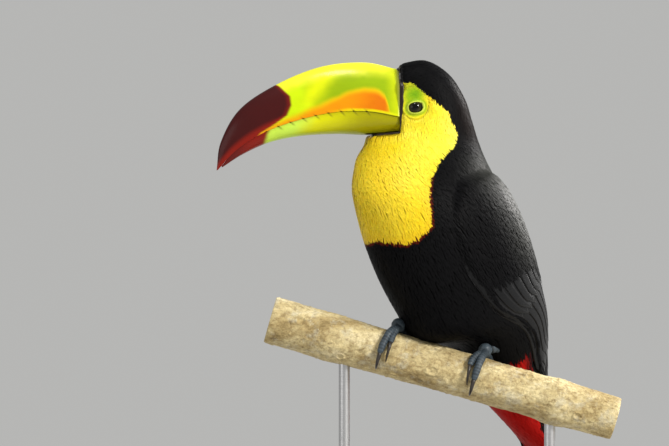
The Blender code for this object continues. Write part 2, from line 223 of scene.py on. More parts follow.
def board():
    """Rings of a rounded oval: up its side, over a quarter round, and in across its top."""
    high = np.array(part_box("stand_base")[1]) / MM
    across, along_y = oval(round_angles(220), 2 / BOARD_SQUARE)
    turn = np.linspace(0, math.pi / 2, 9)
    top = high[2] - BOARD_ROUND
    foot_inset, foot_height = np.transpose(BOARD_FOOT)
    inset = np.concatenate([foot_inset, BOARD_ROUND * (1 - np.cos(turn)), BOARD_ROWS])[:, None]
    height = [foot_height, top + BOARD_ROUND * np.sin(turn), [high[2]] * len(BOARD_ROWS)]
    x, y = (high[0] - inset) * across, (high[1] - inset) * along_y
    return closed_rings(stacked(x, y, np.concatenate(height)[:, None]))


piece("base_board", board(), waxed_wood(), ["stand_base"], crease=50)


# ==== rods =======================================================================================
# Two upright rods of brushed steel, each with a low turned collar that hides its hole in the board.
# They run up into the branch from below and carry it.
COLLAR = [(0, 0), (3.6, 0.05), (4.0, 0.5), (4.0, 2.0), (3.6, 2.7), (0.5, 3.1), (0, 3.5)]  # out, up
ROD_END = 0.4  # the last stretch of a rod, inside the branch
STEEL = [(0.3, (0.46, 0.46, 0.47)), (0.7, (0.54, 0.54, 0.55))]


def brushed_steel():
    """Steel with fine rings round it, as turning leaves them."""
    made, tree, shader = finish_of("brushed_steel", Metallic=1.0)
    rings = spots(tree, 60.0, 3.0, stretch=(0.4, 0.4, 30))
    feed(tree, shader, "Base Color", ramp(tree, rings, STEEL))
    feed(tree, shader, "Roughness", ramp(tree, rings, [(0.3, 0.40), (0.7, 0.32)]))
    relief(tree, shader, rings, 0.01, 0.2)
    return made


def rod(side, collar_at):
    """A turned profile: rings of one radius up the rod, wider over its collar."""
    low, high = (np.array(corner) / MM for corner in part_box(f"stand_rod_{side}"))
    middle, radius = (low + high) / 2, (high[0] - low[0]) / 2
    out, up = np.array(COLLAR).T
    radii = np.concatenate([[radius], radius + out, [radius, radius]])[:, None]
    height = np.concatenate([[low[2]], collar_at + up, [high[2] - ROD_END, high[2]]])[:, None]
    angle = round_angles(56)[None]
    x, y = middle[0] + radii * np.cos(angle), middle[1] + radii * np.sin(angle)
    return closed_rings(stacked(x, y, height))


steel = brushed_steel()
collar_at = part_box("stand_base")[1].z / MM
for side in ("left", "right"):
    piece(f"rod_{side}", rod(side, collar_at), steel, [f"stand_rod_{side}"], crease=50)


# ==== perch ======================================================================================
# A cut length of living branch with thin pale bark, a few branch scars and two swellings, sawn off
# square at both ends. It slopes down to the right, and the bird's feet grip its top.
BIRD_AT = np.array([-16.0, -14.0, 195.0])  # the bird's upright line, and the top of the perch
PERCH_RADIUS, PERCH_TAPER = 15.8, 0.006
PERCH_SLOPE = math.radians(16)
PERCH_AT = BIRD_AT + [0.0, 3.0, -14.4]  # a point on its middle line
PERCH_ENDS = (-112.0, 130.0)
PERCH_GRIP = (-43.0, 47.0)  # no swelling where the feet hold on
PERCH_KNOTS = {88.0: (9.0, 1.6), -70.0: (12.0, 0.8)}  # place: (half length, height)
SCARS = [(2.0, 100, 4.2), (-92.0, 70, 3.2), (66.0, 40, 3.0), (-60.0, 130, 2.6), (104.0, 110, 3.0),
         (-22.0, 150, 3.0), (40.0, 215, 3.4)]  # along, degrees from the top towards the front, size
SAW_EDGE = (0.7, 0.8)  # how much of the bark's edge breaks off at the saw cut, and over what length
RIDGES = [(0.30, (16, 5.0, 5.0), 1), (0.16, (7, 1.9, 1.9), 2),  # wrinkles and grains in the bark:
          (0.15, (2.0, 1.6, 1.6), 6), (0.10, (1.1, 1.1, 1.1), 7)]  # height, size of the noise, its seed
PORES = ((2.2, 2.6, 2.6), 0.52, 1.1)  # size of the noise, the level over which a pore stands out, height
CRACKS = ((8, 90, 90), 0.06, 0.35)  # size of the noise, how near 0 it cracks the bark, depth
SCAR_RIM, SCAR_DISH, SCAR_OVAL = 0.75, 0.5, 1.25  # height, depth, and how much longer than wide
GRIP_FLAT = 0.25  # how far the bark may stand out under the toes
HASH = np.array([73856093, 19349663, 83492791])
BARK = [(0.28, (0.20, 0.145, 0.060)), (0.42, (0.40, 0.31, 0.145)), (0.56, (0.58, 0.49, 0.27)),
        (0.76, (0.72, 0.65, 0.44))]
MOTTLE = [(0.34, (0.48, 0.41, 0.32)), (0.50, (0.92, 0.89, 0.84)), (0.62, (1.15, 1.14, 1.11))]
LICHEN, FLECK = (0.50, 0.47, 0.36), (0.14, 0.09, 0.045)
YEARS = [(0.0, (0.58, 0.44, 0.27)), (0.8, (0.47, 0.33, 0.18))]  # the wood, over each year's ring
YEAR_RING = 3.6  # radians of a ring's wave to a millimetre


def noise(points, size, seed=0):
    """Smooth noise from -1 to 1: a number for each corner of a lattice of that size, from a hash of
    its place, and between the corners a blend by smoothstep."""
    at = np.asarray(points, float) / size
    cell = np.floor(at).astype(np.int64)
    part = at - cell
    part = part * part * (3 - 2 * part)
    total = 0.0
    for corner in np.ndindex(2, 2, 2):
        key = ((cell + corner) * HASH).sum(-1) + seed * 7919 & 0xFFFFFFFF
        key = (key ^ (key >> 13)) * 1274126177 & 0xFFFFFFFF
        key = (key ^ (key >> 16)) & 0xFFFF
        total = total + np.prod(np.where(corner, part, 1 - part), axis=-1) * (key / 32767.5 - 1)
    return total


def bell(x, at=0.0, size=1.0):
    """1 at a place, falling away on both sides: e to the minus square of the distance over a size."""
    return np.exp(-(((x - at) / size) ** 2))


def perch_point(x, angle, radius):
    """A point round the perch's middle line: angle runs from its top towards the front."""
    way = np.array([1.0, 0, -math.tan(PERCH_SLOPE)])
    top = np.array([math.sin(PERCH_SLOPE), 0, math.cos(PERCH_SLOPE)])
    front = np.array([0, -1.0, 0])
    x, angle, radius = (f[..., None] for f in np.broadcast_arrays(x, angle, radius))
    return PERCH_AT + way * x + (top * np.cos(angle) + front * np.sin(angle)) * radius


def bark_radius(x, angle):
    """The branch's radius: tapered, with two swellings, wrinkles and grains, pores that stand out,
    cracks round it, and branch scars, each a low dish with a raised rim."""
    radius = PERCH_RADIUS - PERCH_TAPER * x
    for at, (half_length, height) in PERCH_KNOTS.items():
        radius = radius + height * bell(x, at, half_length) * (1 + 0.5 * np.cos(angle - 2))
    place = stacked(x, PERCH_RADIUS * np.cos(angle), PERCH_RADIUS * np.sin(angle))
    for height, size, seed in RIDGES:
        radius = radius + height * noise(place, size, seed)
    size, level, height = PORES
    pore = height * np.clip(noise(place, size, 3) - level, 0, 1)
    size, near, depth = CRACKS
    crack = depth * bell(noise(place, size, 4), size=near) * (0.5 + 0.5 * noise(place, (20, 9, 9), 5))
    radius = radius + pore - crack
    for at, degrees, size in SCARS:
        turn = (angle - math.radians(degrees) + math.pi) % TURN - math.pi
        far = np.hypot(x - at, PERCH_RADIUS * turn * SCAR_OVAL) / size
        radius = radius + SCAR_RIM * bell(far, 1, 0.28) - SCAR_DISH * bell(far, size=0.7)
    held = (x > PERCH_GRIP[0]) & (x < PERCH_GRIP[1]) & (np.cos(angle) > -0.1)
    return np.where(held, np.minimum(radius, PERCH_RADIUS + GRIP_FLAT), radius)


def branch(rings=480, around=196):
    """A long grid of points round the middle line, then in across both sawn ends, which lie flat."""
    inner = np.array([0.985, 0.9, 0.7, 0.45, 0.2])
    x = np.concatenate([[PERCH_ENDS[0]] * 5, np.linspace(*PERCH_ENDS, rings), [PERCH_ENDS[1]] * 5])[:, None]
    share = np.concatenate([inner[::-1], np.ones(rings), inner])[:, None]
    angle = round_angles(around)[None]
    broken = SAW_EDGE[0] * np.exp(-np.minimum(x - PERCH_ENDS[0], PERCH_ENDS[1] - x) / SAW_EDGE[1])
    radius = (bark_radius(x, angle) - broken) * share
    cut = np.broadcast_to((share < 1).astype(float), radius.shape)
    points, faces = closed_rings(perch_point(x, angle, radius))
    depth = np.concatenate([radius.ravel(), [0, 0]])
    return (points, faces), {"cut": np.concatenate([cut.ravel(), [1, 1]]), "from_pith": depth}


def math_of(tree, operation, *values):
    """One sum on values."""
    return add(tree, "Math", dict(enumerate(values)), operation=operation).outputs[0]


def field(tree, key, output="Fac"):
    """A value that the mesh holds at each of its points."""
    return add(tree, "Attribute", attribute_name=key).outputs[output]


def bark_finish():
    """Pale bark: blotches of tan and brown, grey lichen, dark pores, and on the sawn ends cream wood
    with a ring for each year."""
    made, tree, shader = finish_of("bark", Specular_IOR_Level=0.3)
    lean = (0, -PERCH_SLOPE, 0)
    broad = spots(tree, 46.0, 6.0, stretch=(0.45, 1, 1), lean=lean, roughness=0.62, warp=0.5)
    tone = ramp(tree, broad, BARK)
    grey = ramp(tree, spots(tree, 95.0, 5.0, lean=lean, roughness=0.7), [(0.52, 0.0), (0.64, 0.6)])
    tone = mixed(tree, grey, tone, LICHEN)
    mottle = spots(tree, 300.0, 7.0, stretch=(0.75, 1, 1), lean=lean, roughness=0.78, warp=0.3)
    tone = mixed(tree, 1.0, tone, ramp(tree, mottle, MOTTLE), "MULTIPLY")
    fleck = ramp(tree, spots(tree, 620.0, 4.0, lean=lean, roughness=0.7), [(0.33, 1.0), (0.43, 0.0)])
    tone = mixed(tree, math_of(tree, "MULTIPLY", fleck, 0.3), tone, FLECK)
    wander = math_of(tree, "MULTIPLY", spots(tree, 90.0, 2.0), 2.2)
    far = math_of(tree, "ADD", field(tree, "from_pith"), wander)
    year = math_of(tree, "SINE", math_of(tree, "MULTIPLY", far, YEAR_RING))
    wood = ramp(tree, math_of(tree, "MULTIPLY_ADD", year, 0.5, 0.5), YEARS)
    feed(tree, shader, "Base Color", mixed(tree, field(tree, "cut"), tone, wood))
    feed(tree, shader, "Roughness", ramp(tree, broad, [(0.3, 0.9), (0.7, 0.68)]))
    rough = spots(tree, 260.0, 7.0, stretch=(0.6, 1, 1), lean=lean, roughness=0.78)
    low = relief(tree, shader, rough, 1.4, 0.8)
    relief(tree, shader, math_of(tree, "SUBTRACT", 1.0, fleck), 0.2, 0.8, under=low)
    return made


branch_shape, branch_fields = branch()
piece("branch", branch_shape, bark_finish(), ["perch"], fields=branch_fields, crease=60)


# ==== feet and shanks ============================================================================
# Two toes in front and two behind on each foot, gripping the branch, with the shank lying low behind
# them. Blue-grey skin: a row of broad scutes over each toe, pads under it, and fine grains between.
BODY_YAW = math.radians(42)  # from -X towards the front
FEET_AT = {"right": -28.0, "left": 33.0}  # along the perch
PALM_RADIUS, PALM_LIFT = 4.8, 5.4
TOES = {  # outwards from the foot's line, way round the perch, length in degrees, radius
    "inner_front": (-2.8, 1, 55, 2.8),
    "outer_front": (2.2, 1, 84, 3.1),
    "inner_hind": (-5.0, -1, 44, 2.8),
    "outer_hind": (4.0, -1, 80, 3.0),
}
TOE_START = math.radians(10)
TOE_ROOT = -0.13  # where a toe begins inside the palm, as a share of its length
TOE_FORWARD = 5.0
TOE_TAPER, TOE_LIFT = 0.24, 0.5
SCUTE, PAD, GRAIN = (2.1, 0.34), (4.4, 0.36), (0.9, 0.07)  # length and depth of each
KNUCKLES = ((0.07, 0.38, 0.09), (0.09, 0.76, 0.08))  # height, place along the toe, and half length
CLAW_RETURN = 0.35
PALM_GRAIN, SHANK_SCUTE = (1.3, 0.2), (3.4, 0.3)
CROWN_RISE = 0.36  # the height of a whole scute between its crown and its edges
HEEL_BACK, HEEL_RISE = 32.0, 2.0
SHANK_FROM, SHANK_RADIUS = 0.24, (2.9, 3.8)
TOE_SKIN = [(0.2, (0.018, 0.026, 0.034)), (0.55, (0.040, 0.056, 0.070)), (0.85, (0.095, 0.120, 0.135))]
# Darker in the grooves between scutes and pads, paler on their crowns: painted shade and painted light.
SCUTE_PAINTED_SHADE = [(0.15, 0.4), (0.5, 0.8), (0.85, 1.15)]


def joined(shapes):
    """Several shapes as one, with each one's faces counted on from the points before it."""
    start, points, faces = 0, [], []
    for shape_points, face_sets in shapes:
        points.append(shape_points)
        faces += [face_set + start for face_set in face_sets]
        start += len(shape_points)
    return np.concatenate(points), faces


def spline(values, at):
    """A smooth curve through values, which stand at 0, 1, 2 and so on: cubics whose slopes are the
    mean of the steps on both sides."""
    values = np.asarray(values, float)
    at = np.clip(np.asarray(at, float), 0, len(values) - 1)
    slope = np.gradient(values, axis=0)
    i = np.minimum(at.astype(int), len(values) - 2)
    f = at - i
    if values.ndim > 1:
        f = f[..., None]
    start = (2 * f**3 - 3 * f**2 + 1) * values[i] + (f**3 - 2 * f**2 + f) * slope[i]
    return start + (3 * f**2 - 2 * f**3) * values[i + 1] + (f**3 - f**2) * slope[i + 1]


def along(values, share):
    """The same curve by its share from 0 to 1."""
    return spline(values, np.asarray(share) * (len(values) - 1))


def ease(x, start, end):
    """Smoothstep: 0 at start, 1 at end, level at both."""
    x = np.clip((x - start) / (end - start), 0, 1)
    return x * x * (3 - 2 * x)


def unit(vector):
    """Vectors at length 1."""
    return vector / np.maximum(np.linalg.norm(vector, axis=-1, keepdims=True), 1e-9)


def turned(forward, left, up, yaw):
    """The bird's axes to the frame's, for a part of the bird that is turned by yaw."""
    x = -forward * np.cos(yaw) + left * np.sin(yaw)
    y = -forward * np.sin(yaw) - left * np.cos(yaw)
    return stacked(x, y, up) + BIRD_AT


def sleeve(path, up, high, wide):
    """Rings square to a path: cosine of the angle times high along up, and sine times wide across."""
    way = unit(np.gradient(path, axis=0))
    up = unit(up - way * np.sum(up * way, -1, keepdims=True))
    across = np.cross(way, up)
    angle = round_angles(high.shape[1])[None, :, None]
    spoke = up[:, None] * np.cos(angle) * high[..., None]
    return path[:, None] + spoke + across[:, None] * np.sin(angle) * wide[..., None]


def scaly(path, radius, around, scute=SCUTE):
    """A scaled limb's radius: scutes on top, each rising to its far edge, and pads below."""
    far = np.concatenate([[0], np.cumsum(np.linalg.norm(np.diff(path, axis=0), axis=1))])[:, None]
    top = np.cos(round_angles(around))[None]
    step = (far / scute[0]) % 1
    plate = scute[1] * (np.minimum(step / 0.8, (1 - step) / 0.2) - 0.6) * ease(top, 0.05, 0.45)
    pad = PAD[1] * (np.abs(np.sin(math.pi * far / PAD[0])) ** 0.6 - 0.7) * ease(-top, 0.1, 0.6)
    return np.asarray(radius)[:, None] * (1 + 0 * top) + plate + pad


def grained(rings, size=GRAIN):
    """The rings with fine grains: each point moved out from its ring's middle by noise."""
    middle = rings.mean(1, keepdims=True)
    out = unit(rings - middle)
    return rings + out * (size[1] * noise(rings, size[0], 11))[..., None]


def toe_line(side, toe, share):
    """Where a toe runs: its place along the perch, which bows out up to the toe's end and comes back
    a little in the claw, and its angle round the perch."""
    out, way, length, _radius = TOES[toe]
    outwards = -out if side == "right" else out
    bow = 1 - np.where(share < 1, 1.0, CLAW_RETURN) * (1 - share) ** 2
    drift = (outwards - way * TOE_FORWARD) * bow
    return FEET_AT[side] + drift, way * (TOE_START + math.radians(length) * share)


def toe_rings(side, toe, rings=74, around=26):
    """One toe: a scaly sleeve along its line with two knuckles, rounded off round its claw."""
    radius = TOES[toe][3]
    share = np.linspace(TOE_ROOT, 1, rings)
    x, angle = toe_line(side, toe, share)
    taper = radius * (1 - TOE_TAPER * share)
    path = perch_point(x, angle, PERCH_RADIUS + TOE_LIFT + taper)
    up = perch_point(x, angle, 1.0) - perch_point(x, angle, 0.0)
    knuckle = 1 + sum(height * bell(share, at, size) for height, at, size in KNUCKLES)
    end = np.sqrt(1 - np.clip((share - 0.9) / 0.105, 0, 1) ** 2)
    high = scaly(path, taper * knuckle * end, around)
    return grained(sleeve(path, up, high, high * 0.96))


def ball(centre, axis, radius, rings, around):
    """Rings of a sphere about an axis, from pole to pole."""
    axis = unit(np.asarray(axis, float))
    side = unit(np.cross(axis, [0.31, 0.2, 0.93]))
    lean = np.linspace(0.02, math.pi - 0.02, rings)[:, None, None]
    angle = round_angles(around)[None, :, None]
    spoke = side * np.cos(angle) + np.cross(axis, side) * np.sin(angle)
    return centre + radius * (axis * np.cos(lean) + spoke * np.sin(lean))


def crowns(rings):
    """1 on the crowns of scutes and pads and 0 between them: how far each point stands out from its
    ring's middle, against the mean of the rings near it."""
    out = np.linalg.norm(rings - rings.mean(1, keepdims=True), axis=-1)
    near = np.mean([np.roll(out, step, axis=0) for step in (-3, -2, -1, 1, 2, 3)], axis=0)
    return np.append(np.clip(0.5 + (out - near) / CROWN_RISE, 0, 1).ravel(), [0.5, 0.5])


def cells(tree, scale):
    """How far a place is from the middle of its cell, in a field of small rounded cells."""
    place = add(tree, "TexCoord").outputs["Object"]
    return add(tree, "TexVoronoi", {"Vector": place, "Scale": scale}).outputs["Distance"]


def foot_finish():
    """Dry blue-grey skin, faintly waxy: paler on the crowns of the scutes and darker between them, which is
    painted light and shade over their relief.
    """
    made, tree, shader = finish_of("toe_skin", Specular_IOR_Level=0.35)
    patch = spots(tree, 240.0, 4.0, roughness=0.6)
    crown = ramp(tree, field(tree, "crown"), SCUTE_PAINTED_SHADE)
    feed(tree, shader, "Base Color", mixed(tree, 1.0, ramp(tree, patch, TOE_SKIN), crown, "MULTIPLY"))
    feed(tree, shader, "Roughness", ramp(tree, patch, [(0.3, 0.62), (0.7, 0.42)]))
    relief(tree, shader, cells(tree, 1500.0), 0.12, 0.5)
    return made


foot_skin = foot_finish()
heel = turned(-HEEL_BACK, 0.0, HEEL_RISE, BODY_YAW) - BIRD_AT
for side in FEET_AT:
    palm_at = perch_point(FEET_AT[side], 0.0, PERCH_RADIUS + PALM_LIFT)
    palm = grained(ball(palm_at, [0, 0, 1], PALM_RADIUS, 30, 44), PALM_GRAIN)
    toes = [palm] + [toe_rings(side, toe) for toe in TOES]
    share = np.linspace(SHANK_FROM - 0.1, 1, 60)
    path = palm_at + heel * share[:, None]
    high = scaly(path, np.interp(share, (SHANK_FROM, 1), SHANK_RADIUS), 30, SHANK_SCUTE)
    shank = [grained(sleeve(path, np.array([[0, 0, 1.0]]), high, high))]
    for name, node, limbs in (("toes", "foot", toes), ("shank", "leg", shank)):
        crown = np.concatenate([crowns(limb) for limb in limbs])
        piece(f"{name}_{side}", joined([closed_rings(limb) for limb in limbs]), foot_skin,
              [f"{node}_{side}"], fields={"crown": crown})


# ==== claws ======================================================================================
# One curved claw of dark horn to each toe. It is narrower than it is deep, has a shallow groove
# below, grows out of the rounded end of its toe and comes down to the bark.
CLAW_GAP, CLAW_ANGLE, CLAW_ARCH = 0.3, 44, 2.2
CLAW_WIDTH, CLAW_TIP = 0.72, 0.25
CLAW_FLAT, CLAW_GROOVE = 0.8, 0.22
CLAW_HORN = [(0.3, (0.009, 0.008, 0.008)), (0.7, (0.034, 0.027, 0.022))]


def claw_rings(side, toe, rings=34, around=24):
    """A sleeve along an arch over the bark, thinning by a power of its length to a blunt point, with
    its underside drawn in."""
    _out, _way, length, radius = TOES[toe]
    width = radius * (1 - TOE_TAPER)
    share = np.linspace(0, 1, rings)
    start = math.degrees(2 * CLAW_GAP / (PERCH_RADIUS + width))
    x, angle = toe_line(side, toe, 1 + (start * 0.2 + (CLAW_ANGLE + 0.8 * start) * share) / length)
    lift = TOE_LIFT + width * (1 - share) + CLAW_ARCH * np.sin(math.pi * share**0.8)
    path = perch_point(x, angle, PERCH_RADIUS + lift)
    up = perch_point(x, angle, 1.0) - perch_point(x, angle, 0.0)
    radii = (CLAW_WIDTH * width * (1 - share) ** 0.75 + CLAW_TIP)[:, None]
    turn = round_angles(around)[None]
    groove = 1 - CLAW_GROOVE * bell(turn, math.pi, 0.5)
    return sleeve(path, up, radii * groove, radii * CLAW_FLAT * (1 + 0 * turn))


def claw_finish():
    """Polished dark horn with faint streaks and a warmer tone in thin patches."""
    made, tree, shader = finish_of("claw_horn", Coat_Weight=0.15, Coat_Roughness=0.25,
                                   Specular_IOR_Level=0.3)
    streak = spots(tree, 260.0, 4.0, stretch=(1, 1, 0.25))
    feed(tree, shader, "Base Color", ramp(tree, streak, CLAW_HORN))
    feed(tree, shader, "Roughness", ramp(tree, streak, [(0.3, 0.42), (0.7, 0.28)]))
    relief(tree, shader, streak, 0.05, 0.5)
    return made


claw_horn = claw_finish()
for side in FEET_AT:
    for toe in TOES:
        shape = closed_rings(claw_rings(side, toe))
        piece(f"talon_{side}_{toe}", shape, claw_horn, [f"claw_{side}_{toe}"])


# ==== skin =======================================================================================
# One soft skin over head, neck, trunk, the folded arms and the tail's root, with no seam. It lies
# inside the plumage by the depth of the coat, is bare round the eyes, and forms the lids there.
STATIONS = {  # back (forward, up), front (forward, up), half width of each ring of the plumage
    "tail_root": ((-107.6, -65.1), (-98.4, -72.9), 15.0),
    "undertail": ((-104.0, -38.0), (-79.0, -58.0), 18.0),
    "rump": ((-98.0, -4.0), (-51.0, -32.0), 31.0),
    "vent": ((-91.5, 26.0), (-29.0, -3.5), 41.0),
    "belly": ((-82.5, 56.0), (5.0, 8.0), 45.5),
    "low_breast": ((-72.0, 84.0), (32.5, 39.0), 46.0),
    "breast": ((-58.5, 109.0), (53.0, 76.0), 43.5),
    "shoulder": ((-43.5, 129.0), (61.0, 103.0), 37.0),
    "neck": ((-34.5, 144.5), (55.0, 126.0), 28.0),
    "throat": ((-29.5, 157.0), (47.5, 138.0), 22.5),
    "nape": ((-24.5, 172.0), (44.5, 143.0), 20.5),
    "hind_crown": ((-13.5, 189.0), (42.0, 145.5), 20.0),
    "crown": ((3.0, 199.0), (40.0, 147.0), 19.0),
    "forehead": ((21.0, 197.0), (38.0, 148.5), 17.0),
}
BACK, FRONT = (np.array([station[i] for station in STATIONS.values()]) for i in (0, 1))
HALF_WIDTH = np.array([station[2] for station in STATIONS.values()])
LAST = len(STATIONS) - 1.0
HEAD_YAW = math.radians(4)
TWIST, HEAD_FORM = (6.2, 9.4), (8.0, 11.5)  # stations over which the neck turns, and the head takes form
HEAD_SQUARE, HEAD_MIDDLE = 0.6, 0.11
FACE_FROM, FACE_TAPER = 2.0, 0.07
HEAD_FLOOR = 120  # everything above this height is the head's
BILL_BASE = 22.4
GONYS = np.array([  # forward and up, along the bill's underside
    (BILL_BASE, 148.7), (44, 147), (66, 147.6), (90, 146.2), (112, 141.8), (131, 133.4), (145.5, 124.2)])
COAT_DEPTH = [2.6, 3.0, 3.4, 3.4, 3.2, 3.0, 2.8, 2.5, 2.0, 1.6, 1.3, 1.2, 1.1, 1.0]  # by station
WING_TOP, WING_TIP = 7.0, 0.4  # stations
WING_FRONT = np.array([-10, -20, -26, -22, -10, 0, 8, 28])  # degrees round the body from its side
WING_REAR = np.array([54, 64, 70, 73, 75, 75, 68, 44])
WING_LIFT = np.array([0.7, 0.7, 0.7, 0.7, 0.7, 1.0, 2.6, 6.0])
WING_THICK = np.array([3.4, 5.2, 5.6, 4.8, 3.6, 3.0, 2.4, 1.6])
WING_EDGE, WING_ROUND = 0.8, 0.16
ARM_SHARE, ARM_TO = 0.42, 0.62  # the arm's share of the wing's thickness, and how far down it goes
TAIL_LEAN, TAIL_LENGTH = math.radians(40), 122.0
TAIL_HALF_WIDTH = np.array([14.8, 20.0, 23.5, 25.0, 26.0, 26.0, 21.5])
TAIL_ROOT_THICK, TAIL_THICK, TAIL_ROOF = 12.9, 1.6, 3.0
TAIL_FEATHERS, TAIL_LOBE, TAIL_STEP = 10, 2.2, 15.0
EYE, EYE_RADIUS = np.array([11.9, 15.2, 165.9]), 6.2  # forward, left, up of the left eye's centre
EYE_OPENING, EYE_TILT = (4.8, 3.3, 3.75), math.radians(9)  # half its length, and its height up and down
EYE_SQUARE = 2.4  # 2 is an oval opening, more is squarer
LID, LID_BEAD, LID_SOFT = 0.62, 0.3, 0.35  # thickness of the lids, of their bead, and how they blend
LID_GROOVE, LID_RIDGE, SOCKET = 0.22, 0.12, 1.1  # round the bead, round that, and behind the lids
LID_AT = (1.17, 1.42, 1.95)  # where bead, groove and ridge lie, in units of the opening
BARE_AT, BARE_SIZE = (12.6, 169.2), (9.8, 11.8)  # forward and up: the bare patch's middle and reach
# The bib's edge: degrees round from the bird's side, at every half station from BIB_FROM up.
BIB_FROM = 6.0
BIB_EDGE = np.array([-37, -30.5, -19, 0, 27, 36, 34, 30.5, 22, 10.5, 6.0, 4.5, 6.5, 9.5, 12])
# The bib's lower end: the station at every 15 degrees away from the breast's middle.
BIB_END = np.array([5.88, 5.82, 5.76, 5.86, 6.16, 6.62, 7.1])
# The grey of the mantle below is a painted sheen on black feathers.
BLACK, PAINTED_MANTLE_SHEEN, MAROON = (0.0045, 0.0045, 0.0050), (0.026, 0.027, 0.024), (0.012, 0.005, 0.003)
GOLD, DEEP_GOLD, PALE_GOLD = (0.94, 0.70, 0.008), (0.88, 0.55, 0.004), (0.96, 0.82, 0.060)
RED, FRINGE, WHITE = (0.36, 0.008, 0.006), (0.10, 0.010, 0.004), (0.80, 0.78, 0.72)
LIME, DEEP_LIME, LID_GREEN = (0.40, 0.50, 0.005), (0.15, 0.34, 0.003), (0.56, 0.66, 0.08)
AMBER, LID_LINE = (0.88, 0.55, 0.006), (0.020, 0.022, 0.010)


def plumage(t, angle):
    """The coat's outer surface: t along the stations, angle round from the bird's left over its back.
    Each ring is a rounded oval between its back and front points, and the neck turns the rings."""
    t, angle = np.broadcast_arrays(np.asarray(t, float), angle)
    back, front = spline(BACK, t), spline(FRONT, t)
    head = ease(t, *HEAD_FORM)
    middle = front + (0.5 + HEAD_MIDDLE * head)[..., None] * (back - front)
    across, rise = oval(angle, 2 + HEAD_SQUARE * head)
    reach = np.where(rise[..., None] > 0, back - middle, middle - front)
    profile = middle + reach * rise[..., None]
    face = 1 - FACE_TAPER * head * ease(profile[..., 0], FACE_FROM, BILL_BASE)
    yaw = BODY_YAW + (HEAD_YAW - BODY_YAW) * ease(t, *TWIST)
    return turned(profile[..., 0], spline(HALF_WIDTH, t) * across * face, profile[..., 1], yaw)


def slopes(surface, u, v, step=0.01):
    """A surface's derivatives along its two parameters, by central differences."""
    by_u = (surface(u + step, v) - surface(u - step, v)) / (2 * step)
    return by_u, (surface(u, v + step) - surface(u, v - step)) / (2 * step)


def outward(t, angle):
    """The plumage surface's outward direction: the cross product of its two slopes."""
    by_t, by_angle = slopes(plumage, t, angle)
    return unit(np.cross(by_angle, by_t))


def head_place(points, yaw=HEAD_YAW):
    """Points of the frame in the axes of the head, or of a part of the bird that is turned by yaw."""
    x, y, up = np.moveaxis(points - BIRD_AT, -1, 0)
    cosine, sine = math.cos(yaw), math.sin(yaw)
    return -x * cosine - y * sine, x * sine - y * cosine, up


def wing_width(share):
    """The middle and the width of the wing, in degrees round the body, at a share of the way down it,
    and how far its rounded shoulder has opened there, by a quarter of a circle."""
    place = np.clip(share, 0, 1)
    front, rear = along(WING_FRONT, place), along(WING_REAR, place)
    rounded = np.sqrt(1 - (1 - np.clip(share / WING_ROUND, 0.01, 1)) ** 2)
    return (front + rear) / 2, (rear - front) * rounded, rounded


def wing_place(t, angle):
    """How far down the wing and how far across it a place on the body's left side is, from 0 to 1,
    and how far the rounded shoulder has opened there."""
    share = (WING_TOP - t) / (WING_TOP - WING_TIP)
    middle, width, rounded = wing_width(share)
    return share, (np.degrees(angle) - middle) / width + 0.5, rounded


def from_side(angle):
    """An angle on either side as the same angle on the left, from -90 to 90 degrees."""
    return np.arcsin(np.clip(np.sin(angle), -1, 1))


def arm_rise(t, angle):
    """How far the folded arm raises the skin: the wing's lift and a share of its thickness, fading
    out at the wing's edges and towards its tip."""
    share, over, rounded = wing_place(t, from_side(angle))
    place = np.clip(share, 0, 1)
    inside = np.clip(4 * over * (1 - over), 0, 1)
    inside = inside * ease(share, 0.0, 0.06) * (1 - ease(share, ARM_TO - 0.2, ARM_TO))
    thick = along(WING_LIFT, place) + ARM_SHARE * along(WING_THICK, place) * rounded
    return (thick + spline(COAT_DEPTH, t)) * ease(inside, 0.0, 0.55)


def from_bare(forward, up):
    """The distance from the bare patch's middle, 1 on the oval that bounds it."""
    return np.hypot((forward - BARE_AT[0]) / BARE_SIZE[0], (up - BARE_AT[1]) / BARE_SIZE[1])


def bareness(points):
    """1 on the bare patch round each eye, 0 on the feathered head."""
    forward, left, up = head_place(points)
    inside = 1 - ease(from_bare(forward, up), 0.93, 1.05)
    return inside * ease(np.abs(left), 8.0, 11.0) * (up > HEAD_FLOOR)


def height_of(curve, forward, points=None):
    """How high a line along the bill is at places forward: between its own points, or, where a number
    of points is given, between that many on the smooth curve through them."""
    line = curve if points is None else along(curve, np.linspace(0, 1, points))
    return np.interp(forward, *line.T)


def junction(angle, gap=0.3):
    """The line where the flesh meets the bill, by the angle round the head: the first station whose
    place is the bill's, or comes within a gap of it, or else the last station."""
    t = np.linspace(9.5, LAST, 500)
    forward, _left, up = head_place(plumage(t[:, None], angle[None]))
    room = np.minimum(forward - BILL_BASE, up - height_of(GONYS, forward)) + gap
    room[-1] = np.maximum(room[-1], 1e-6)
    first = np.maximum((room > 0).argmax(0), 1)
    column = np.arange(len(angle))
    before, after = room[first - 1, column], room[first, column]
    return t[first - 1] + (t[first] - t[first - 1]) * np.clip(-before / (after - before), 0, 1)


def eye_place(points):
    """Places about the nearer eye: distance from its axis, distance in units of the opening, and how
    far out to the side."""
    forward, left, up = head_place(points)
    ahead, above = forward - EYE[0], up - EYE[2]
    long = ahead * math.cos(EYE_TILT) - above * math.sin(EYE_TILT)
    high = ahead * math.sin(EYE_TILT) + above * math.cos(EYE_TILT)
    half = np.where(high > 0, EYE_OPENING[1], EYE_OPENING[2])
    opening = (np.abs(long) / EYE_OPENING[0]) ** EYE_SQUARE + (np.abs(high) / half) ** EYE_SQUARE
    return np.hypot(ahead, above), opening ** (1 / EYE_SQUARE), np.where(up > HEAD_FLOOR, np.abs(left), 0)


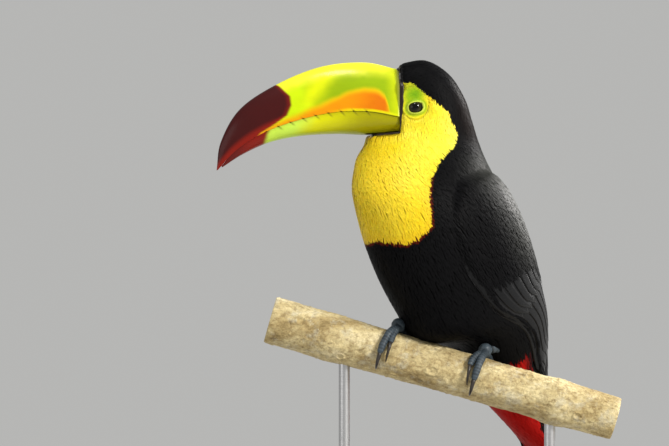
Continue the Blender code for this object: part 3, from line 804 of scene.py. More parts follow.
def with_lids(points):
    """The skin round each eye: the lids lie on the eyeball, their edge is a bead with a groove and a
    low ridge round it, inside it the skin goes down behind the eyeball, and outside it the face takes
    over by a soft maximum."""
    forward, left, up = head_place(points)
    far, opening, out = eye_place(points)

    def over_eye(lift):
        """How far out a sphere about the eye's centre reaches, by its radius and the distance."""
        return EYE[1] + np.sqrt(np.maximum((EYE_RADIUS + lift) ** 2 - far**2, 0))

    bead = LID_BEAD * bell(opening, LID_AT[0], 0.11) - LID_GROOVE * bell(opening, LID_AT[1], 0.1)
    lid = np.where(far < EYE_RADIUS + LID, over_eye(LID), 0)
    face = out + LID_RIDGE * bell(opening, LID_AT[2], 0.14)
    outside = face + LID_SOFT * np.log1p(np.exp(np.clip((lid - face) / LID_SOFT, -30, 30))) + bead
    inside = over_eye(-SOCKET)
    new = inside + (outside - inside) * ease(opening, 0.88, 1.06)
    near = (far < 13) & (out > 11)
    return turned(forward, np.where(near, np.sign(left) * new, left), up, HEAD_YAW)


def tail_point(share, over, height):
    """A point of the closed tail, which is a shallow roof of feathers, round at its root: share down
    its length, over across it from -1 to 1, and height in units of half its thickness."""
    lobe = TAIL_LOBE * np.abs(np.cos(over * math.pi * TAIL_FEATHERS / 2)) - TAIL_STEP * np.abs(over) ** 1.8
    length = TAIL_LENGTH + lobe * ease(share, 0.5, 1.0)
    down = np.array([-math.sin(TAIL_LEAN), -math.cos(TAIL_LEAN)])
    up = np.array([-math.cos(TAIL_LEAN), math.sin(TAIL_LEAN)])
    root = (BACK[0] + FRONT[0]) / 2 + down * 0.3
    roof = -TAIL_ROOF * over**2 * ease(share, 0, 0.5)
    round_root = np.sqrt(np.maximum(1 - over**2, 0.02)) ** (1 - ease(share, 0.1, 0.6))
    thick = (TAIL_THICK + (TAIL_ROOT_THICK - TAIL_THICK) * (1 - ease(share, 0, 0.45))) * round_root
    rise = roof + height * thick / 2
    profile = root + (share * length)[..., None] * down + rise[..., None] * up
    return turned(profile[..., 0], along(TAIL_HALF_WIDTH, share) * over, profile[..., 1], BODY_YAW)


def side_mm(t):
    """Millimetres round the plumage to a degree, at a station: a little over the half width times it."""
    return spline(HALF_WIDTH, t) * 1.05 * math.pi / 180


def bib_depth(t, angle):
    """How far inside the bib's edge a place is, in millimetres: the nearer of the edge round the side
    and the lower end."""
    degrees = np.degrees(from_side(angle))
    edge = spline(BIB_EDGE, (t - BIB_FROM) * 2)
    beside = np.where(t > BIB_FROM, (edge - degrees) * side_mm(t), 99.0)
    end = spline(BIB_END, (degrees + 90) / 15)
    return np.minimum(beside, (t - end) * 36.0)


def laid(under, colour, share):
    """A colour laid over another by share, point by point."""
    return under + (np.array(colour) - under) * np.clip(share, 0, 1)[..., None]


def plumage_colours(t, degrees, depth, points, wave):
    """The feathered body: a golden bib, paler in places, deeper along its lower edge, and deeper in front
    as painted shade, with a red fringe; black round it with a painted grey sheen on the mantle and a
    maroon nape; white over the tail and red under it."""
    body = np.broadcast_to(np.array(BLACK), (*t.shape, 3))
    # The grey laid over the black of the back here is a painted sheen.
    body = laid(body, PAINTED_MANTLE_SHEEN, ease(degrees, 0, 50) * ease(t, 3.6, 5.2) * (1 - ease(t, 6.6, 7.8)))
    body = laid(body, MAROON, 0.5 * ease(t, 7.2, 8.6) * (1 - ease(t, 9.5, 11)) * ease(degrees, 30, 70))
    body = laid(body, WHITE, ease(degrees, 20, 34) * (1 - ease(t + 0.06 * wave, 1.25, 1.4)))
    body = laid(body, RED, (1 - ease(degrees, -22, -8)) * (1 - ease(t + 0.06 * wave, 2.2, 2.4)))
    pale = 0.45 + 0.5 * noise(points, 22, 23) + 0.25 * noise(points, 2.4, 24)
    bib = laid(np.broadcast_to(np.array(GOLD), body.shape), PALE_GOLD, pale)
    bib = laid(bib, DEEP_GOLD, 0.75 * (1 - ease(depth, 0.5, 9)) * (1 - ease(t, 6.6, 8.2)))
    # The deeper gold towards the front of the breast is painted shade.
    bib = laid(bib, DEEP_GOLD, 0.6 * ease(-degrees, 10, 60) * (1 - ease(t, 9.0, 11.0)))
    colour = np.where((depth > 0)[..., None], bib, body)
    fringe = (t < 7.2) * (depth <= 0) * (depth > -1.5) * ease(-degrees, 8, 24)
    return laid(colour, FRINGE, 0.85 * fringe)


def markings(t, angle, points, ragged=0.7):
    """The colour of skin and coat at a place: the feathered body's, and over it lime skin round each
    eye, deeper above it, with an amber border behind and a dark line where the lids meet the eye."""
    wave = ragged * (noise(points, 3.1, 21) + 0.7 * noise(points, 1.3, 22))
    depth = bib_depth(t, angle) + wave
    colour = plumage_colours(t, np.degrees(from_side(angle)), depth, points, wave)
    forward, _left, up = head_place(points)
    _far, opening, _out = eye_place(points)
    on_head = up > HEAD_FLOOR
    face = (depth > 0) & (t > 9.2)
    behind = bell(from_bare(forward, up), 1.12, 0.2) * (1 - ease(forward, 2, 12)) * ease(up, 158, 170)
    colour = laid(colour, AMBER, 0.85 * face * behind)
    lime = 1.25 * bell(forward, 13.5, 8.5) * bell(up, 173.5, 10.0)
    lime = np.maximum(lime, bell(opening, 1.2, 0.75)) * on_head * (colour[..., 0] > 0.3)
    colour = laid(colour, LIME, lime)
    deep = bell(forward + wave, 12.4, 6.0) * bell(up - wave, 174.6, 5.0)
    colour = laid(colour, DEEP_LIME, 0.95 * deep * (lime > 0))
    near = (opening < 4) & on_head
    colour = laid(colour, LID_GREEN, near * bell(opening, LID_AT[0], 0.13))
    colour = laid(colour, DEEP_LIME, 0.45 * near * bell(opening, 1.5, 0.12))
    return laid(colour, LID_LINE, near * (1 - ease(opening, 1.0, 1.07)))


SKIN_ROWS = [(0, 8.0, 120), (8.0, 9.7, 30), (9.7, 11.9, 78), (11.9, LAST, 26)]  # stations from and to
SKIN_COLUMNS = [(-20, 20, 70), (20, 160, 76), (160, 200, 70), (200, 340, 76)]  # degrees from and to


def skin_lines(bands):
    """Where the skin's rows or columns of points lie: so many in each band, closest over the eyes."""
    return np.concatenate([np.linspace(low, high, count, high == LAST) for low, high, count in bands])


def skin_point(t, angle):
    """The plumage surface drawn in by the coat's depth and out by the arms."""
    outer = plumage(t, angle)
    bare = bareness(outer)
    depth = spline(COAT_DEPTH, t) * (1 - bare) + 0.1 * bare
    return outer + outward(t, angle) * (arm_rise(t, angle) - depth)[..., None], outer, bare


def skin():
    """Rings of skin from the tail's root to the bill. Beyond the line where it meets the bill the
    skin turns straight in across the head, behind the bill's base and over its lower side."""
    t, angle = skin_lines(SKIN_ROWS)[:, None], np.radians(skin_lines(SKIN_COLUMNS))[None]
    rings, outer, bare = skin_point(t, angle)
    meet = junction(angle[0])[None]
    forward, left, up = head_place(skin_point(meet, angle)[0])
    inward = np.clip((t - meet) / (LAST - meet + 0.001), 0, 1)
    behind_bill = turned(forward, left * (1 - 0.95 * inward), up, HEAD_YAW)
    rings = with_lids(np.where((t > meet)[..., None], behind_bill, rings))
    share = np.linspace(0.3, 0.015, 14)[:, None]
    thin = np.sqrt(np.clip((0.31 - share) / 0.29, 0, 1))
    across, high = np.cos(angle), np.sin(angle)
    root = tail_point(share + 0 * angle, 0.84 * thin * across, 0.72 * thin * high)
    tail_t = np.zeros(root.shape[:2])
    t, turn = np.concatenate([tail_t, t + 0 * angle]), np.concatenate([tail_t + angle, angle + 0 * t])
    tones = markings(t, turn, np.concatenate([root, outer]))
    bare = np.concatenate([tail_t, bare])
    ends = tones[[0, -1]].mean(1)
    fields = {"tone": np.concatenate([tones.reshape(-1, 3), ends]),
              "bare": np.append(bare.ravel(), [0, 0])}
    return closed_rings(np.concatenate([root, rings])), fields


def skin_finish():
    """Soft matt skin in the bird's own markings: bare round the eyes with fine wrinkles and pores."""
    made, tree, shader = finish_of("skin", Subsurface_Weight=0.06, Specular_IOR_Level=0.15,
                                   Subsurface_Radius=(0.0012, 0.0008, 0.0003))
    tone = field(tree, "tone", "Color")
    shade = ramp(tree, spots(tree, 900.0, 3.0), [(0.3, 0.80), (0.7, 1.0)])
    feed(tree, shader, "Base Color", mixed(tree, 1.0, tone, shade, "MULTIPLY"))
    feed(tree, shader, "Roughness", ramp(tree, field(tree, "bare"), [(0.0, 0.8), (1.0, 0.5)]))
    relief(tree, shader, cells(tree, 1100.0), 0.16, 0.55)
    return made


skin_shape, skin_fields = skin()
FLESH = ["head", "neck", "trunk", "wing_left", "wing_right", "tail"]
piece("bird_skin", skin_shape, skin_finish(), FLESH, fields=skin_fields)


# ==== eyes =======================================================================================
# Two glass eyes set in the sockets: a dark brown iris round a black pupil under a clear, slightly
# bulged cornea, with a narrow brown-black margin where the lids close on it.
EYE_SIDES = {"left": 1, "right": -1}
CORNEA, CORNEA_RISE = math.radians(50), 0.35  # how wide the cornea is, and how far it bulges
EYE_RINGS, EYE_AROUND = 64, 80
IRIS = [(0.0, 0.001), (0.40, 0.001), (0.47, (0.012, 0.010, 0.003)), (0.74, (0.022, 0.020, 0.007)),
        (0.88, (0.008, 0.007, 0.003)), (1.0, (0.004, 0.004, 0.002))]


def eye_finish():
    """Glossy glass over a painted iris: brown rays between the pupil and a dark margin."""
    made, tree, shader = finish_of("eye_glass", Roughness=0.3, Coat_Weight=0.75, Coat_Roughness=0.02,
                                   Coat_IOR=1.38, Specular_IOR_Level=0.0)
    far = field(tree, "from_pupil")
    rays = math_of(tree, "MULTIPLY", math_of(tree, "SUBTRACT", spots(tree, 1500.0, 2.0), 0.5), 0.16)
    feed(tree, shader, "Base Color", ramp(tree, math_of(tree, "ADD", far, rays), IRIS))
    return made


eye_glass = eye_finish()
for side, sign in EYE_SIDES.items():
    centre = turned(EYE[0], sign * EYE[1], EYE[2], HEAD_YAW)
    axis = unit(turned(EYE[0] + 0.12, sign * (EYE[1] + 1), EYE[2], HEAD_YAW) - centre)
    rings = ball(centre, axis, EYE_RADIUS, EYE_RINGS, EYE_AROUND)
    share = np.clip(np.linspace(0.02, math.pi - 0.02, EYE_RINGS) / CORNEA, 0, 1)
    bulge = CORNEA_RISE * np.cos(share * math.pi / 2) ** 2
    rings = rings + unit(rings - centre) * bulge[:, None, None]
    piece(f"eyeball_{side}", closed_rings(rings), eye_glass, [f"eye_{side}"],
          fields={"from_pupil": np.append(np.repeat(share, EYE_AROUND), [0, 1])})


# ==== bill =======================================================================================
# Two light mandibles of smooth horn, the upper one curving down over the tip of the lower one. They
# meet along a finely toothed cutting edge, and each carries its own colours.
CULMEN = np.array([  # forward and up, along the upper mandible's ridge
    (BILL_BASE, 192.8), (47, 197.6), (78, 194.2), (109, 181.4), (133.5, 164.5), (146.5, 142), (149.5, 122)])
TOMIUM = np.array([  # forward and up, along the cutting edge
    (BILL_BASE, 159.3), (44, 163), (68, 162.4), (93, 157), (117, 148.2), (136, 136), (148.6, 122.4)])
BILL_HALF_WIDTH = np.array([18.0, 17.2, 15.2, 12.4, 9.0, 4.8, 0.7])
LOWER_WIDTH, LOWER_TIP, LOWER_GAP = 0.94, 0.6, 0.02
UPPER_ROUND, LOWER_ROUND = 2.15, 2.7
BILL_KEEL = 0.2
TOOTH_FROM, TOOTH_TO, TOOTH_STEP = 46.0, 124.0, 8.7
TOOTH_DEEP, TOOTH_LONG, TOOTH_SEED = 0.3, 0.75, 51
RIM_RISE, RIM_ROUND = 0.008, 0.03  # the rear rim, as shares of the bill's height there
HORN_YELLOW, HORN_LIME, HORN_CREST = (0.60, 0.66, 0.003), (0.50, 0.68, 0.003), (0.84, 0.82, 0.035)
HORN_GREEN, HORN_OLIVE, HORN_PALE = (0.24, 0.36, 0.002), (0.27, 0.25, 0.002), (0.50, 0.72, 0.07)
HORN_SIDE, HORN_AMBER = (0.62, 0.62, 0.003), (0.64, 0.48, 0.002)
BLAZE, BLAZE_DEEP = (0.70, 0.25, 0.001), (0.56, 0.135, 0.001)
TIP_DARK, TIP_RED = (0.046, 0.005, 0.005), (0.20, 0.010, 0.005)
RIM_PALE, MARK, CHIN_LINE = (0.70, 0.74, 0.16), (0.10, 0.085, 0.010), (0.009, 0.008, 0.006)
BLAZE_EDGE = np.array([  # forward, and how high over the cutting edge the blaze reaches
    (29.5, 0), (31, 7), (33, 12), (37, 14.4), (40, 15), (46.5, 14.8), (53.5, 13.4), (60.5, 11.2),
    (67.5, 9.0), (74.5, 7.0), (81.5, 5.0), (92, 3.2), (102, 2.2), (125, 1.6)])
TIP_EDGE = np.array([  # up, and how far forward the dark tip starts
    (142, 124), (148.4, 119), (154.7, 108.5), (160.3, 101), (167.3, 98), (173.6, 98.8), (180.6, 106),
    (186, 116)])
CURVE_POINTS = 60  # on a smooth curve of the bill, where heights are read off it


def on_line(values):
    """Numbers as places along one axis, for noise that changes only with them."""
    return stacked(values, 0 * values, 0 * values)


def tooth(forward):
    """Notches along the cutting edge: a narrow bump of 1 at every step, each a little off its place."""
    place = (forward - TOOTH_FROM) / TOOTH_STEP
    number = np.round(place)
    shift = 0.12 * noise(on_line(number) + 0.5, 1.0, TOOTH_SEED)
    inside = (forward > TOOTH_FROM - 2) & (forward < TOOTH_TO)
    return inside * bell(place, number + shift, TOOTH_LONG / TOOTH_STEP)


def mandible(edge, ridge, width, roundness, keel, rings, arch):
    """Rings over a mandible: an arch from one cutting edge over the ridge to the other, and a palate
    between the edges. The cutting edge is notched, and faint growth lines ring the horn."""
    share = np.linspace(0, 1, rings) ** 1.25
    angle = np.linspace(0, math.pi, arch)
    wide, high = oval(angle, roundness)
    palate = np.linspace(-1, 1, 9)[1:-1]
    wide, high = np.append(wide * (1 - keel * high), palate), np.append(high, 0 * palate)
    foot, top = along(edge, share)[:, None], along(ridge, share)[:, None]
    forward = foot[..., 0] + 0 * high
    lip = np.append(bell(np.minimum(angle, math.pi - angle), size=0.16), 0 * palate)
    lift = TOOTH_DEEP * tooth(forward) * lip / np.linalg.norm(top - foot, axis=-1)
    behind = 1 - ease(forward, BILL_BASE, BILL_BASE + 1.3)
    rim = RIM_RISE * bell(forward, BILL_BASE + 1.7, 0.8) - RIM_ROUND * behind
    rise = high[None] * (1 + rim) + lift
    profile = foot + (top - foot) * rise[..., None]
    growth = 1 + 0.004 * noise(on_line(forward), 5.0, 31) * (high > 0)
    return profile, along(width, share)[:, None] * wide * growth * (1 + 0.5 * rim)


def upper_colours(forward, up, points):
    """The upper mandible: green, with a slanting yellow bar, lime before the tip and yellow along the
    ridge and at the base; an orange blaze above the cutting edge, a dark red tip, a pale rear rim."""
    rise = up - height_of(TOMIUM, forward, CURVE_POINTS)
    below = height_of(CULMEN, forward, CURVE_POINTS) - up
    wave = noise(points, 9, 41) + 0.5 * noise(points, 3.5, 42)
    green, blaze_red, dark = (np.broadcast_to(np.array(colour), points.shape)
                              for colour in (HORN_GREEN, BLAZE, TIP_DARK))
    colour = laid(green, HORN_YELLOW, bell(forward - 0.88 * below + 2 * wave, 68.5, 9.5))
    colour = laid(colour, HORN_LIME, ease(forward + 2 * wave, 80, 96))
    colour = laid(colour, HORN_YELLOW, 0.6 * (1 - ease(forward, 24, 34)))
    crest = (1 - ease(below + 1.6 * wave, 2.0, 12)) * ease(forward, 20, 40)
    colour = laid(colour, HORN_CREST, 0.85 * crest)
    blaze = height_of(BLAZE_EDGE, forward) - rise + 0.6 * wave
    orange = laid(blaze_red, BLAZE_DEEP, (1 - ease(forward, 34, 62)) * ease(blaze, 0, 4) + 0.12 * wave)
    colour = laid(colour, HORN_AMBER, 0.85 * ease(blaze, -3.6, 0.6) * ease(forward, 26, 31))
    colour = laid(colour, orange, ease(blaze, -2.2, 3.2) * ease(forward, 28.0, 33.5))
    lip = (1 - ease(rise + 0.3 * wave, 0.8, 2.4)) * (1 - ease(forward, 52, 74))
    colour = laid(colour, HORN_YELLOW, 0.85 * lip)
    tip = forward - height_of(TIP_EDGE, up)
    red = laid(dark, TIP_RED, (1 - ease(rise, 2.0, 7.5)) + 0.6 * (1 - ease(tip, 0.3, 4.5)))
    colour = laid(colour, red, ease(tip + 0.25 * wave, -1.1, 0.9))
    colour = laid(colour, RIM_PALE, 0.8 * (1 - ease(forward, 23.4, 24.3)))
    return laid(colour, MARK, 0.5 * tooth(forward - rise) * (1 - ease(rise, 0.4, 2.0)) * (forward < 108))


def lower_colours(forward, up, points):
    """The lower mandible: olive at its base, yellow-green along its side, pale lime before a red tip,
    and a black line where the chin's feathers meet it."""
    below = height_of(TOMIUM, forward, CURVE_POINTS) - up
    rise = up - height_of(GONYS, forward, CURVE_POINTS)
    wave = noise(points, 8, 43) + 0.5 * noise(points, 3, 44)
    colour = np.broadcast_to(np.array(HORN_SIDE), points.shape)
    colour = laid(colour, HORN_OLIVE, 0.9 * (1 - ease(forward + 2.5 * wave, 40, 84)))
    colour = laid(colour, HORN_GREEN, 0.5 * (1 - ease(rise, 0.5, 3.5)))
    colour = laid(colour, HORN_PALE, ease(forward + 0.5 * rise + 1.5 * wave, 82, 102))
    colour = laid(colour, TIP_RED, ease(forward + 0.35 * rise + 0.8 * wave, 114.0, 118.5))
    colour = laid(colour, TIP_DARK, 0.6 * ease(forward, 124, 138))
    colour = laid(colour, CHIN_LINE, (1 - ease(rise, 0.9, 1.3)) * (1 - ease(forward, 44.5, 46.5)))
    slant = tooth(forward + 0.9 * below) * (1 - ease(below, 1.4, 4.2))
    return laid(colour, MARK, 0.62 * slant * (forward < 112))


def horn_finish():
    """Smooth horn with a soft gloss: its own colours, faint streaks, and a thin clear surface."""
    made, tree, shader = finish_of("bill_horn", Coat_Weight=0.35, Coat_Roughness=0.18, Coat_IOR=1.4,
                                   Specular_IOR_Level=0.05)
    tone = field(tree, "tone", "Color")
    streak = spots(tree, 150.0, 5.0, stretch=(0.3, 1, 1), roughness=0.6)
    shade = ramp(tree, streak, [(0.3, (0.90, 0.88, 0.84)), (0.7, 1.0)])
    feed(tree, shader, "Base Color", mixed(tree, 1.0, tone, shade, "MULTIPLY"))
    feed(tree, shader, "Roughness", ramp(tree, streak, [(0.3, 0.42), (0.7, 0.33)]))
    relief(tree, shader, spots(tree, 420.0, 4.0, stretch=(1, 1, 0.35)), 0.05, 0.5)
    return made


bill_horn = horn_finish()
upper = (TOMIUM, CULMEN, BILL_HALF_WIDTH, UPPER_ROUND, BILL_KEEL, 330, 121)
lower_edge = TOMIUM - [0.0, LOWER_GAP]
lower_edge[-1] = GONYS[-1] + [LOWER_TIP, 1.5 * LOWER_TIP]
lower_width = np.maximum(BILL_HALF_WIDTH * LOWER_WIDTH, LOWER_TIP)
lower = (lower_edge, GONYS, lower_width, LOWER_ROUND, 0.0, 300, 91)
for name, form, colours in (("upper", upper, upper_colours), ("lower", lower, lower_colours)):
    profile, side_out = mandible(*form)
    points, faces = closed_rings(turned(profile[..., 0], side_out, profile[..., 1], HEAD_YAW))
    forward, _left, up = head_place(points)
    piece(f"{name}_mandible", (points, faces), bill_horn, [f"bill_{name}"],
          fields={"tone": colours(forward, up, points)}, crease=48)


# ==== band round the bill ========================================================================
# A band of black horn closes the joint between bill and face. It follows the line where the flesh
# meets the bill, wide on the face, narrow under the bill, and sunk among the crown's feathers.
BAND_WIDE, BAND_CROWN, BAND_HIGH, BAND_DEEP, BAND_SUNK = (1.2, 2.3), 0.7, 0.5, 1.6, 3.2
BAND_HORN = [(0.3, (0.006, 0.003, 0.002)), (0.7, (0.020, 0.009, 0.004))]


def band_shape(around=420, section=16):
    """A ring of loops. For each angle round the head, an oval loop starts at the line where the flesh
    meets the bill, and runs back over the face and under the skin. Across the face it starts on a
    straight line at the bill's base."""
    angle = round_angles(around)
    meet = junction(angle, 0.0)
    _forward, _left, height = head_place(plumage(meet, angle))
    wide = BAND_WIDE[0] + (BAND_WIDE[1] - BAND_WIDE[0]) * ease(height, 148.5, 153.5)
    wide = wide + (BAND_CROWN - wide) * ease(height, 181, 188)
    waver = 1 + 0.12 * noise(plumage(meet, angle), 3.0, 61)
    turn = round_angles(section)[None]
    back = (wide * waver)[:, None] * (0.5 - 0.56 * np.cos(turn))
    rise = np.where(np.sin(turn) > 0, BAND_HIGH, BAND_DEEP) * np.sin(turn) * (wide / BAND_WIDE[1])[:, None]
    rise = rise - BAND_SUNK * ease(height, 179, 188)[:, None]
    pace = np.linalg.norm(slopes(plumage, meet, angle)[0], axis=-1)[:, None]
    angle = angle[:, None] + 0 * turn
    place = np.minimum(meet[:, None] - back / pace, LAST)
    points = plumage(place, angle) + outward(place, angle) * rise[..., None]
    forward, left, up = head_place(points)
    front = (1 - ease(back / wide[:, None], 0.0, 0.5)) * (up > 151)
    forward = forward + np.maximum(BILL_BASE + 0.5 - forward, 0) * front
    points = turned(forward, left, up, HEAD_YAW)
    ring = np.concatenate([points, points[:1]])
    faces = grid_faces(around + 1, section) % (around * section)
    return ring[:-1].reshape(-1, 3), [faces]


def band_finish():
    """Black horn, worn smooth."""
    made, tree, shader = finish_of("black_band", Specular_IOR_Level=0.3)
    grain = spots(tree, 500.0, 3.0)
    feed(tree, shader, "Base Color", ramp(tree, grain, BAND_HORN))
    feed(tree, shader, "Roughness", ramp(tree, grain, [(0.3, 0.42), (0.7, 0.28)]))
    relief(tree, shader, grain, 0.12, 0.6)
    return made


piece("bill_band", band_shape(), band_finish())


# ==== body coat ==================================================================================
# Contour feathers rooted in the skin, each a thin closed blade that leans towards the tail and lies on
# the next: short, narrow and velvety on the head, fine on the bib, broad on back and belly.
FEATHER_LONG = np.array([17, 17, 16, 15.5, 15, 14, 12, 10, 8.4, 7.2, 6.4, 5.6, 5.0, 4.2])  # by station
FEATHER_WIDE = np.array([2.1, 2.1, 1.9, 1.7, 1.55, 1.4, 1.25, 1.1, 0.95, 0.82, 0.74, 0.68, 0.64, 0.60])
BIB_LONG = np.array([10.0] * 6 + [9.6, 8.8, 7.8, 6.6, 5.6, 5.0, 4.5, 4.0])
BIB_WIDE = np.array([0.94] * 6 + [0.90, 0.82, 0.75, 0.68, 0.62, 0.58, 0.55, 0.52])
PACKED = (0.48, 0.30)  # spacing across and along, as shares of a feather's width and length
COAT_GRID = (700, 900)  # cells along the body and round it, in which feathers are counted
GOLDEN = (math.sqrt(5) - 1) / 2
# The shades darken each blade towards its root, where it lies under other feathers: painted shade.
BLADE = {  # places of the rings along a feather, their width, and the shade of their colour
    "fine": ([0.06, 0.45, 0.85], [0.65, 1.0, 0.80], [0.92, 0.97, 1.0]),
    "broad": ([0.05, 0.36, 0.68, 0.91], [0.40, 0.92, 1.0, 0.60], [0.6, 0.88, 1.0, 1.04]),
}
FINE_UNDER = 1.35  # feathers narrower than this are fine blades
BLADE_THICK, BLADE_CUP = 0.04, 0.03  # as shares of the width, and of half of it
BLADE_RISE, BLADE_DIP = 2.3, 0.12  # how late a blade comes up to the coat's surface, and its tip's dip
FEATHER_SWING = math.radians(6)
FEATHER_STIR = 0.07  # how far the tips stand up or down at random, in millimetres
GLOSS = (0.06, 1.0, 0.5)  # least, on the mantle, and on the bib
BLACK_GLOSS = 0.2
CHIN_FULL = 2.2  # how far the chin's feathers stand forward under the bill
BELLY_FULL, BELLY_AT = 4.2, (-22.0, 203.0)  # how far the belly's feathers hang over the perch, and where
BAND_AT = (20.0, 2.2)  # feathers start behind this place, and that much further forward on the crown
BAND_CROWN_AT = (182, 188)  # the heights between which their edge moves forward
BAND_CLEAR, CHIN_CLEAR, CHIN_FROM = 1.5, -0.7, 1.2  # over the bill's underside, and behind its base
COVERED, COVERED_BY_BACK = 0.34, 0.16  # how far down the wing small feathers reach, and more by the back
UNCOVERED_TO, UNCOVERED_OVER = 0.93, 0.42  # where none grow: how far down, and how far from its middle
SHOWN_AT = 0.9  # how far along its length a feather shows
SIZES, TONES = (0.82, 1.14), (0.93, 1.05)  # how much feathers differ
PIECES = {  # stations from and to, degrees from and to (99 is no limit), whether it is the bib's
    "coat_crown": (8.6, 99, -99, 99, False), "coat_face": (8.6, 99, -99, 99, True),
    "coat_bib_high": (7.2, 8.6, -99, 99, True), "coat_bib_low": (0, 7.2, -99, 99, True),
    "coat_nape": (6.8, 8.6, -99, 99, False), "coat_back": (1.6, 6.8, 10, 99, False),
    "coat_breast": (4.6, 6.8, -99, 10, False), "coat_belly": (2.3, 4.6, -99, 10, False),
    "coat_uppertail": (0, 1.6, 10, 99, False), "coat_undertail": (0, 2.3, -99, 10, False),
}
SPLIT_BELOW = ("coat_back", "coat_nape", "coat_crown")  # their bake maps are cut open along the breast


def coat_density(t, angle):
    """Feathers to a square millimetre at a place, and none on bare skin, under the bill and its band,
    or inside the wings."""
    points = plumage(t, angle)
    long, wide, _bib = feather_size(t, angle)
    forward, _left, up = head_place(points)
    over_low = up - height_of(GONYS, forward)
    start = BAND_AT[0] + BAND_AT[1] * ease(up, *BAND_CROWN_AT)
    banded = (forward > start) & (over_low > BAND_CLEAR)
    chin = (forward > BILL_BASE - CHIN_FROM) & (over_low > CHIN_CLEAR)
    billed = (up > HEAD_FLOOR) & (banded | chin)
    share, over, _rounded = wing_place(t, from_side(angle))
    covered = COVERED + COVERED_BY_BACK * ease(over, 0.5, 0.9)
    winged = (share > covered) & (share < UNCOVERED_TO) & (np.abs(over - 0.5) < UNCOVERED_OVER)
    bare = (bareness(points) + 0.35 * noise(points, 1.6, 71) > 0.5) & (bib_depth(t, angle) > 0.8)
    return np.where(billed | winged | bare, 0.0, 1 / (PACKED[0] * wide * PACKED[1] * long))


def feather_size(t, angle):
    """Length and width of the feathers at a place, shorter along the bib's edge and round the bare
    patch, and whether they belong to the bib."""
    depth = bib_depth(t, angle)
    bib = depth > 0
    edge = bell(depth, size=7) * (1 - ease(t, 8.0, 9.0))
    long = np.where(bib, spline(BIB_LONG, t), spline(FEATHER_LONG, t)) * (1 - 0.45 * edge)
    wide = np.where(bib, spline(BIB_WIDE, t), spline(FEATHER_WIDE, t))
    forward, _left, up = head_place(plumage(t, angle))
    rim = bell(from_bare(forward, up), 1.0, 0.28) * (up > HEAD_FLOOR)
    return long * (1 - 0.42 * rim), wide * (1 - 0.25 * rim), bib


def wing_crown(share, over, rounded):
    """The wing's crowned outer surface, off the plumage surface: its lift, the thickness of its edge,
    and the rest of its thickness by a flattened arch across it."""
    place = np.clip(share, 0, 1)
    arch = np.clip(4 * over * (1 - over), 0, 1) ** 0.6
    return along(WING_LIFT, place) + WING_EDGE + (along(WING_THICK, place) - WING_EDGE) * arch * rounded


def wing_rise(t, angle):
    """How far the wing's outer surface stands off the plumage surface, 0 beyond its edges."""
    share, over, rounded = wing_place(t, from_side(angle))
    inside = ease(over, -0.03, 0.06) * (1 - ease(over, 0.95, 1.06))
    inside = inside * ease(share, 0.0, 0.05) * (1 - ease(share, 0.9, 1.0))
    return wing_crown(share, over, rounded) * inside


def coat_rise(t, angle, points):
    """How far the coat's surface stands off the plumage surface: over the wings, at the chin, and
    where the belly hangs over the perch."""
    forward, _left, up = head_place(points)
    chin = bell(forward, 44, 5) * bell(up, 145.5, 3.2) * ease(up, HEAD_FLOOR, HEAD_FLOOR + 10)
    belly = bell(points[..., 0], BELLY_AT[0], 22) * bell(points[..., 2], BELLY_AT[1], 9)
    return wing_rise(t, angle) + CHIN_FULL * chin + BELLY_FULL * belly


def coat_roots(draw):
    """Places all over the body, spaced by the density there: the i-th place's station comes from the
    share of all feathers that lie before it, and its angle from a golden-ratio step round its ring."""
    rows_count, columns = COAT_GRID
    t = np.linspace(0.0, LAST, rows_count)[:, None]
    angle = round_angles(columns)[None]
    by_t, by_angle = slopes(plumage, t, angle)
    cell = np.linalg.norm(np.cross(by_t, by_angle), axis=-1) * (LAST / rows_count) * (TURN / columns)
    mass = cell * coat_density(t, angle)
    rows = np.cumsum(mass.sum(1))
    count = int(rows[-1])
    order = np.arange(count)
    at = np.interp((order + 0.5) / count, rows / rows[-1], t[:, 0])
    row = np.clip((at / LAST * (rows_count - 1)).astype(int), 0, rows_count - 1)
    round_ring = np.cumsum(mass, axis=1) / np.maximum(mass.sum(1, keepdims=True), 1e-9)
    column = (round_ring[row] < ((order * GOLDEN) % 1)[:, None]).sum(1)
    turn = (column + draw.random(count)) * TURN / columns
    return np.clip(at + draw.normal(0, 0.006, count), 0.001, LAST - 0.001), turn


def laid_along(t, angle, long, swing, places):
    """Points, directions, outward directions and the coat's rise along feathers that lie on the plumage
    surface: steps towards the tail, turned sideways by swing, and straight on past the last ring. The
    surface's two slopes, as two equations, turn each step into a change of station and of angle."""
    centre, way, out, rise = [], [], [], []
    last = 0.0
    point = plumage(t, angle)
    for place in places:
        step = long * (place - last)
        last = place
        by_t, by_angle = slopes(plumage, t, angle)
        normal = unit(np.cross(by_angle, by_t))
        tailward = -unit(by_t)
        aim = tailward * np.cos(swing)[:, None] + np.cross(normal, tailward) * np.sin(swing)[:, None]
        pairs = ((by_t, by_t), (by_t, by_angle), (by_angle, by_angle), (aim, by_t), (aim, by_angle))
        tt, ta, aa, pt, pa = (np.sum(one * other, -1) for one, other in pairs)
        spread = np.maximum(tt * aa - ta * ta, 1e-6)
        ahead = t + step * (aa * pt - ta * pa) / spread
        past = ahead < 0.04
        new = np.where(past[:, None], point + aim * step[:, None], plumage(ahead, angle))
        turn = np.where(past, 0.0, step * (tt * pa - ta * pt) / spread)
        new = np.where(past[:, None], new, plumage(ahead, angle + turn))
        t, angle, point = np.clip(ahead, 0.04, LAST), angle + turn, new
        centre.append(point)
        way.append(aim)
        out.append(normal)
        rise.append(coat_rise(t, angle, point))
    return np.stack(centre, 1), np.stack(way, 1), np.stack(out, 1), np.stack(rise, 1)


def repeated_faces(count, rings, around):
    """The faces of many closed shapes of one kind, each counted on from the points before it."""
    (_points, face_sets), each = closed_rings(np.zeros((rings, around, 3))), rings * around + 2
    start = (np.arange(count) * each)[:, None, None]
    return [(faces + start).reshape(-1, faces.shape[1]) for faces in face_sets]


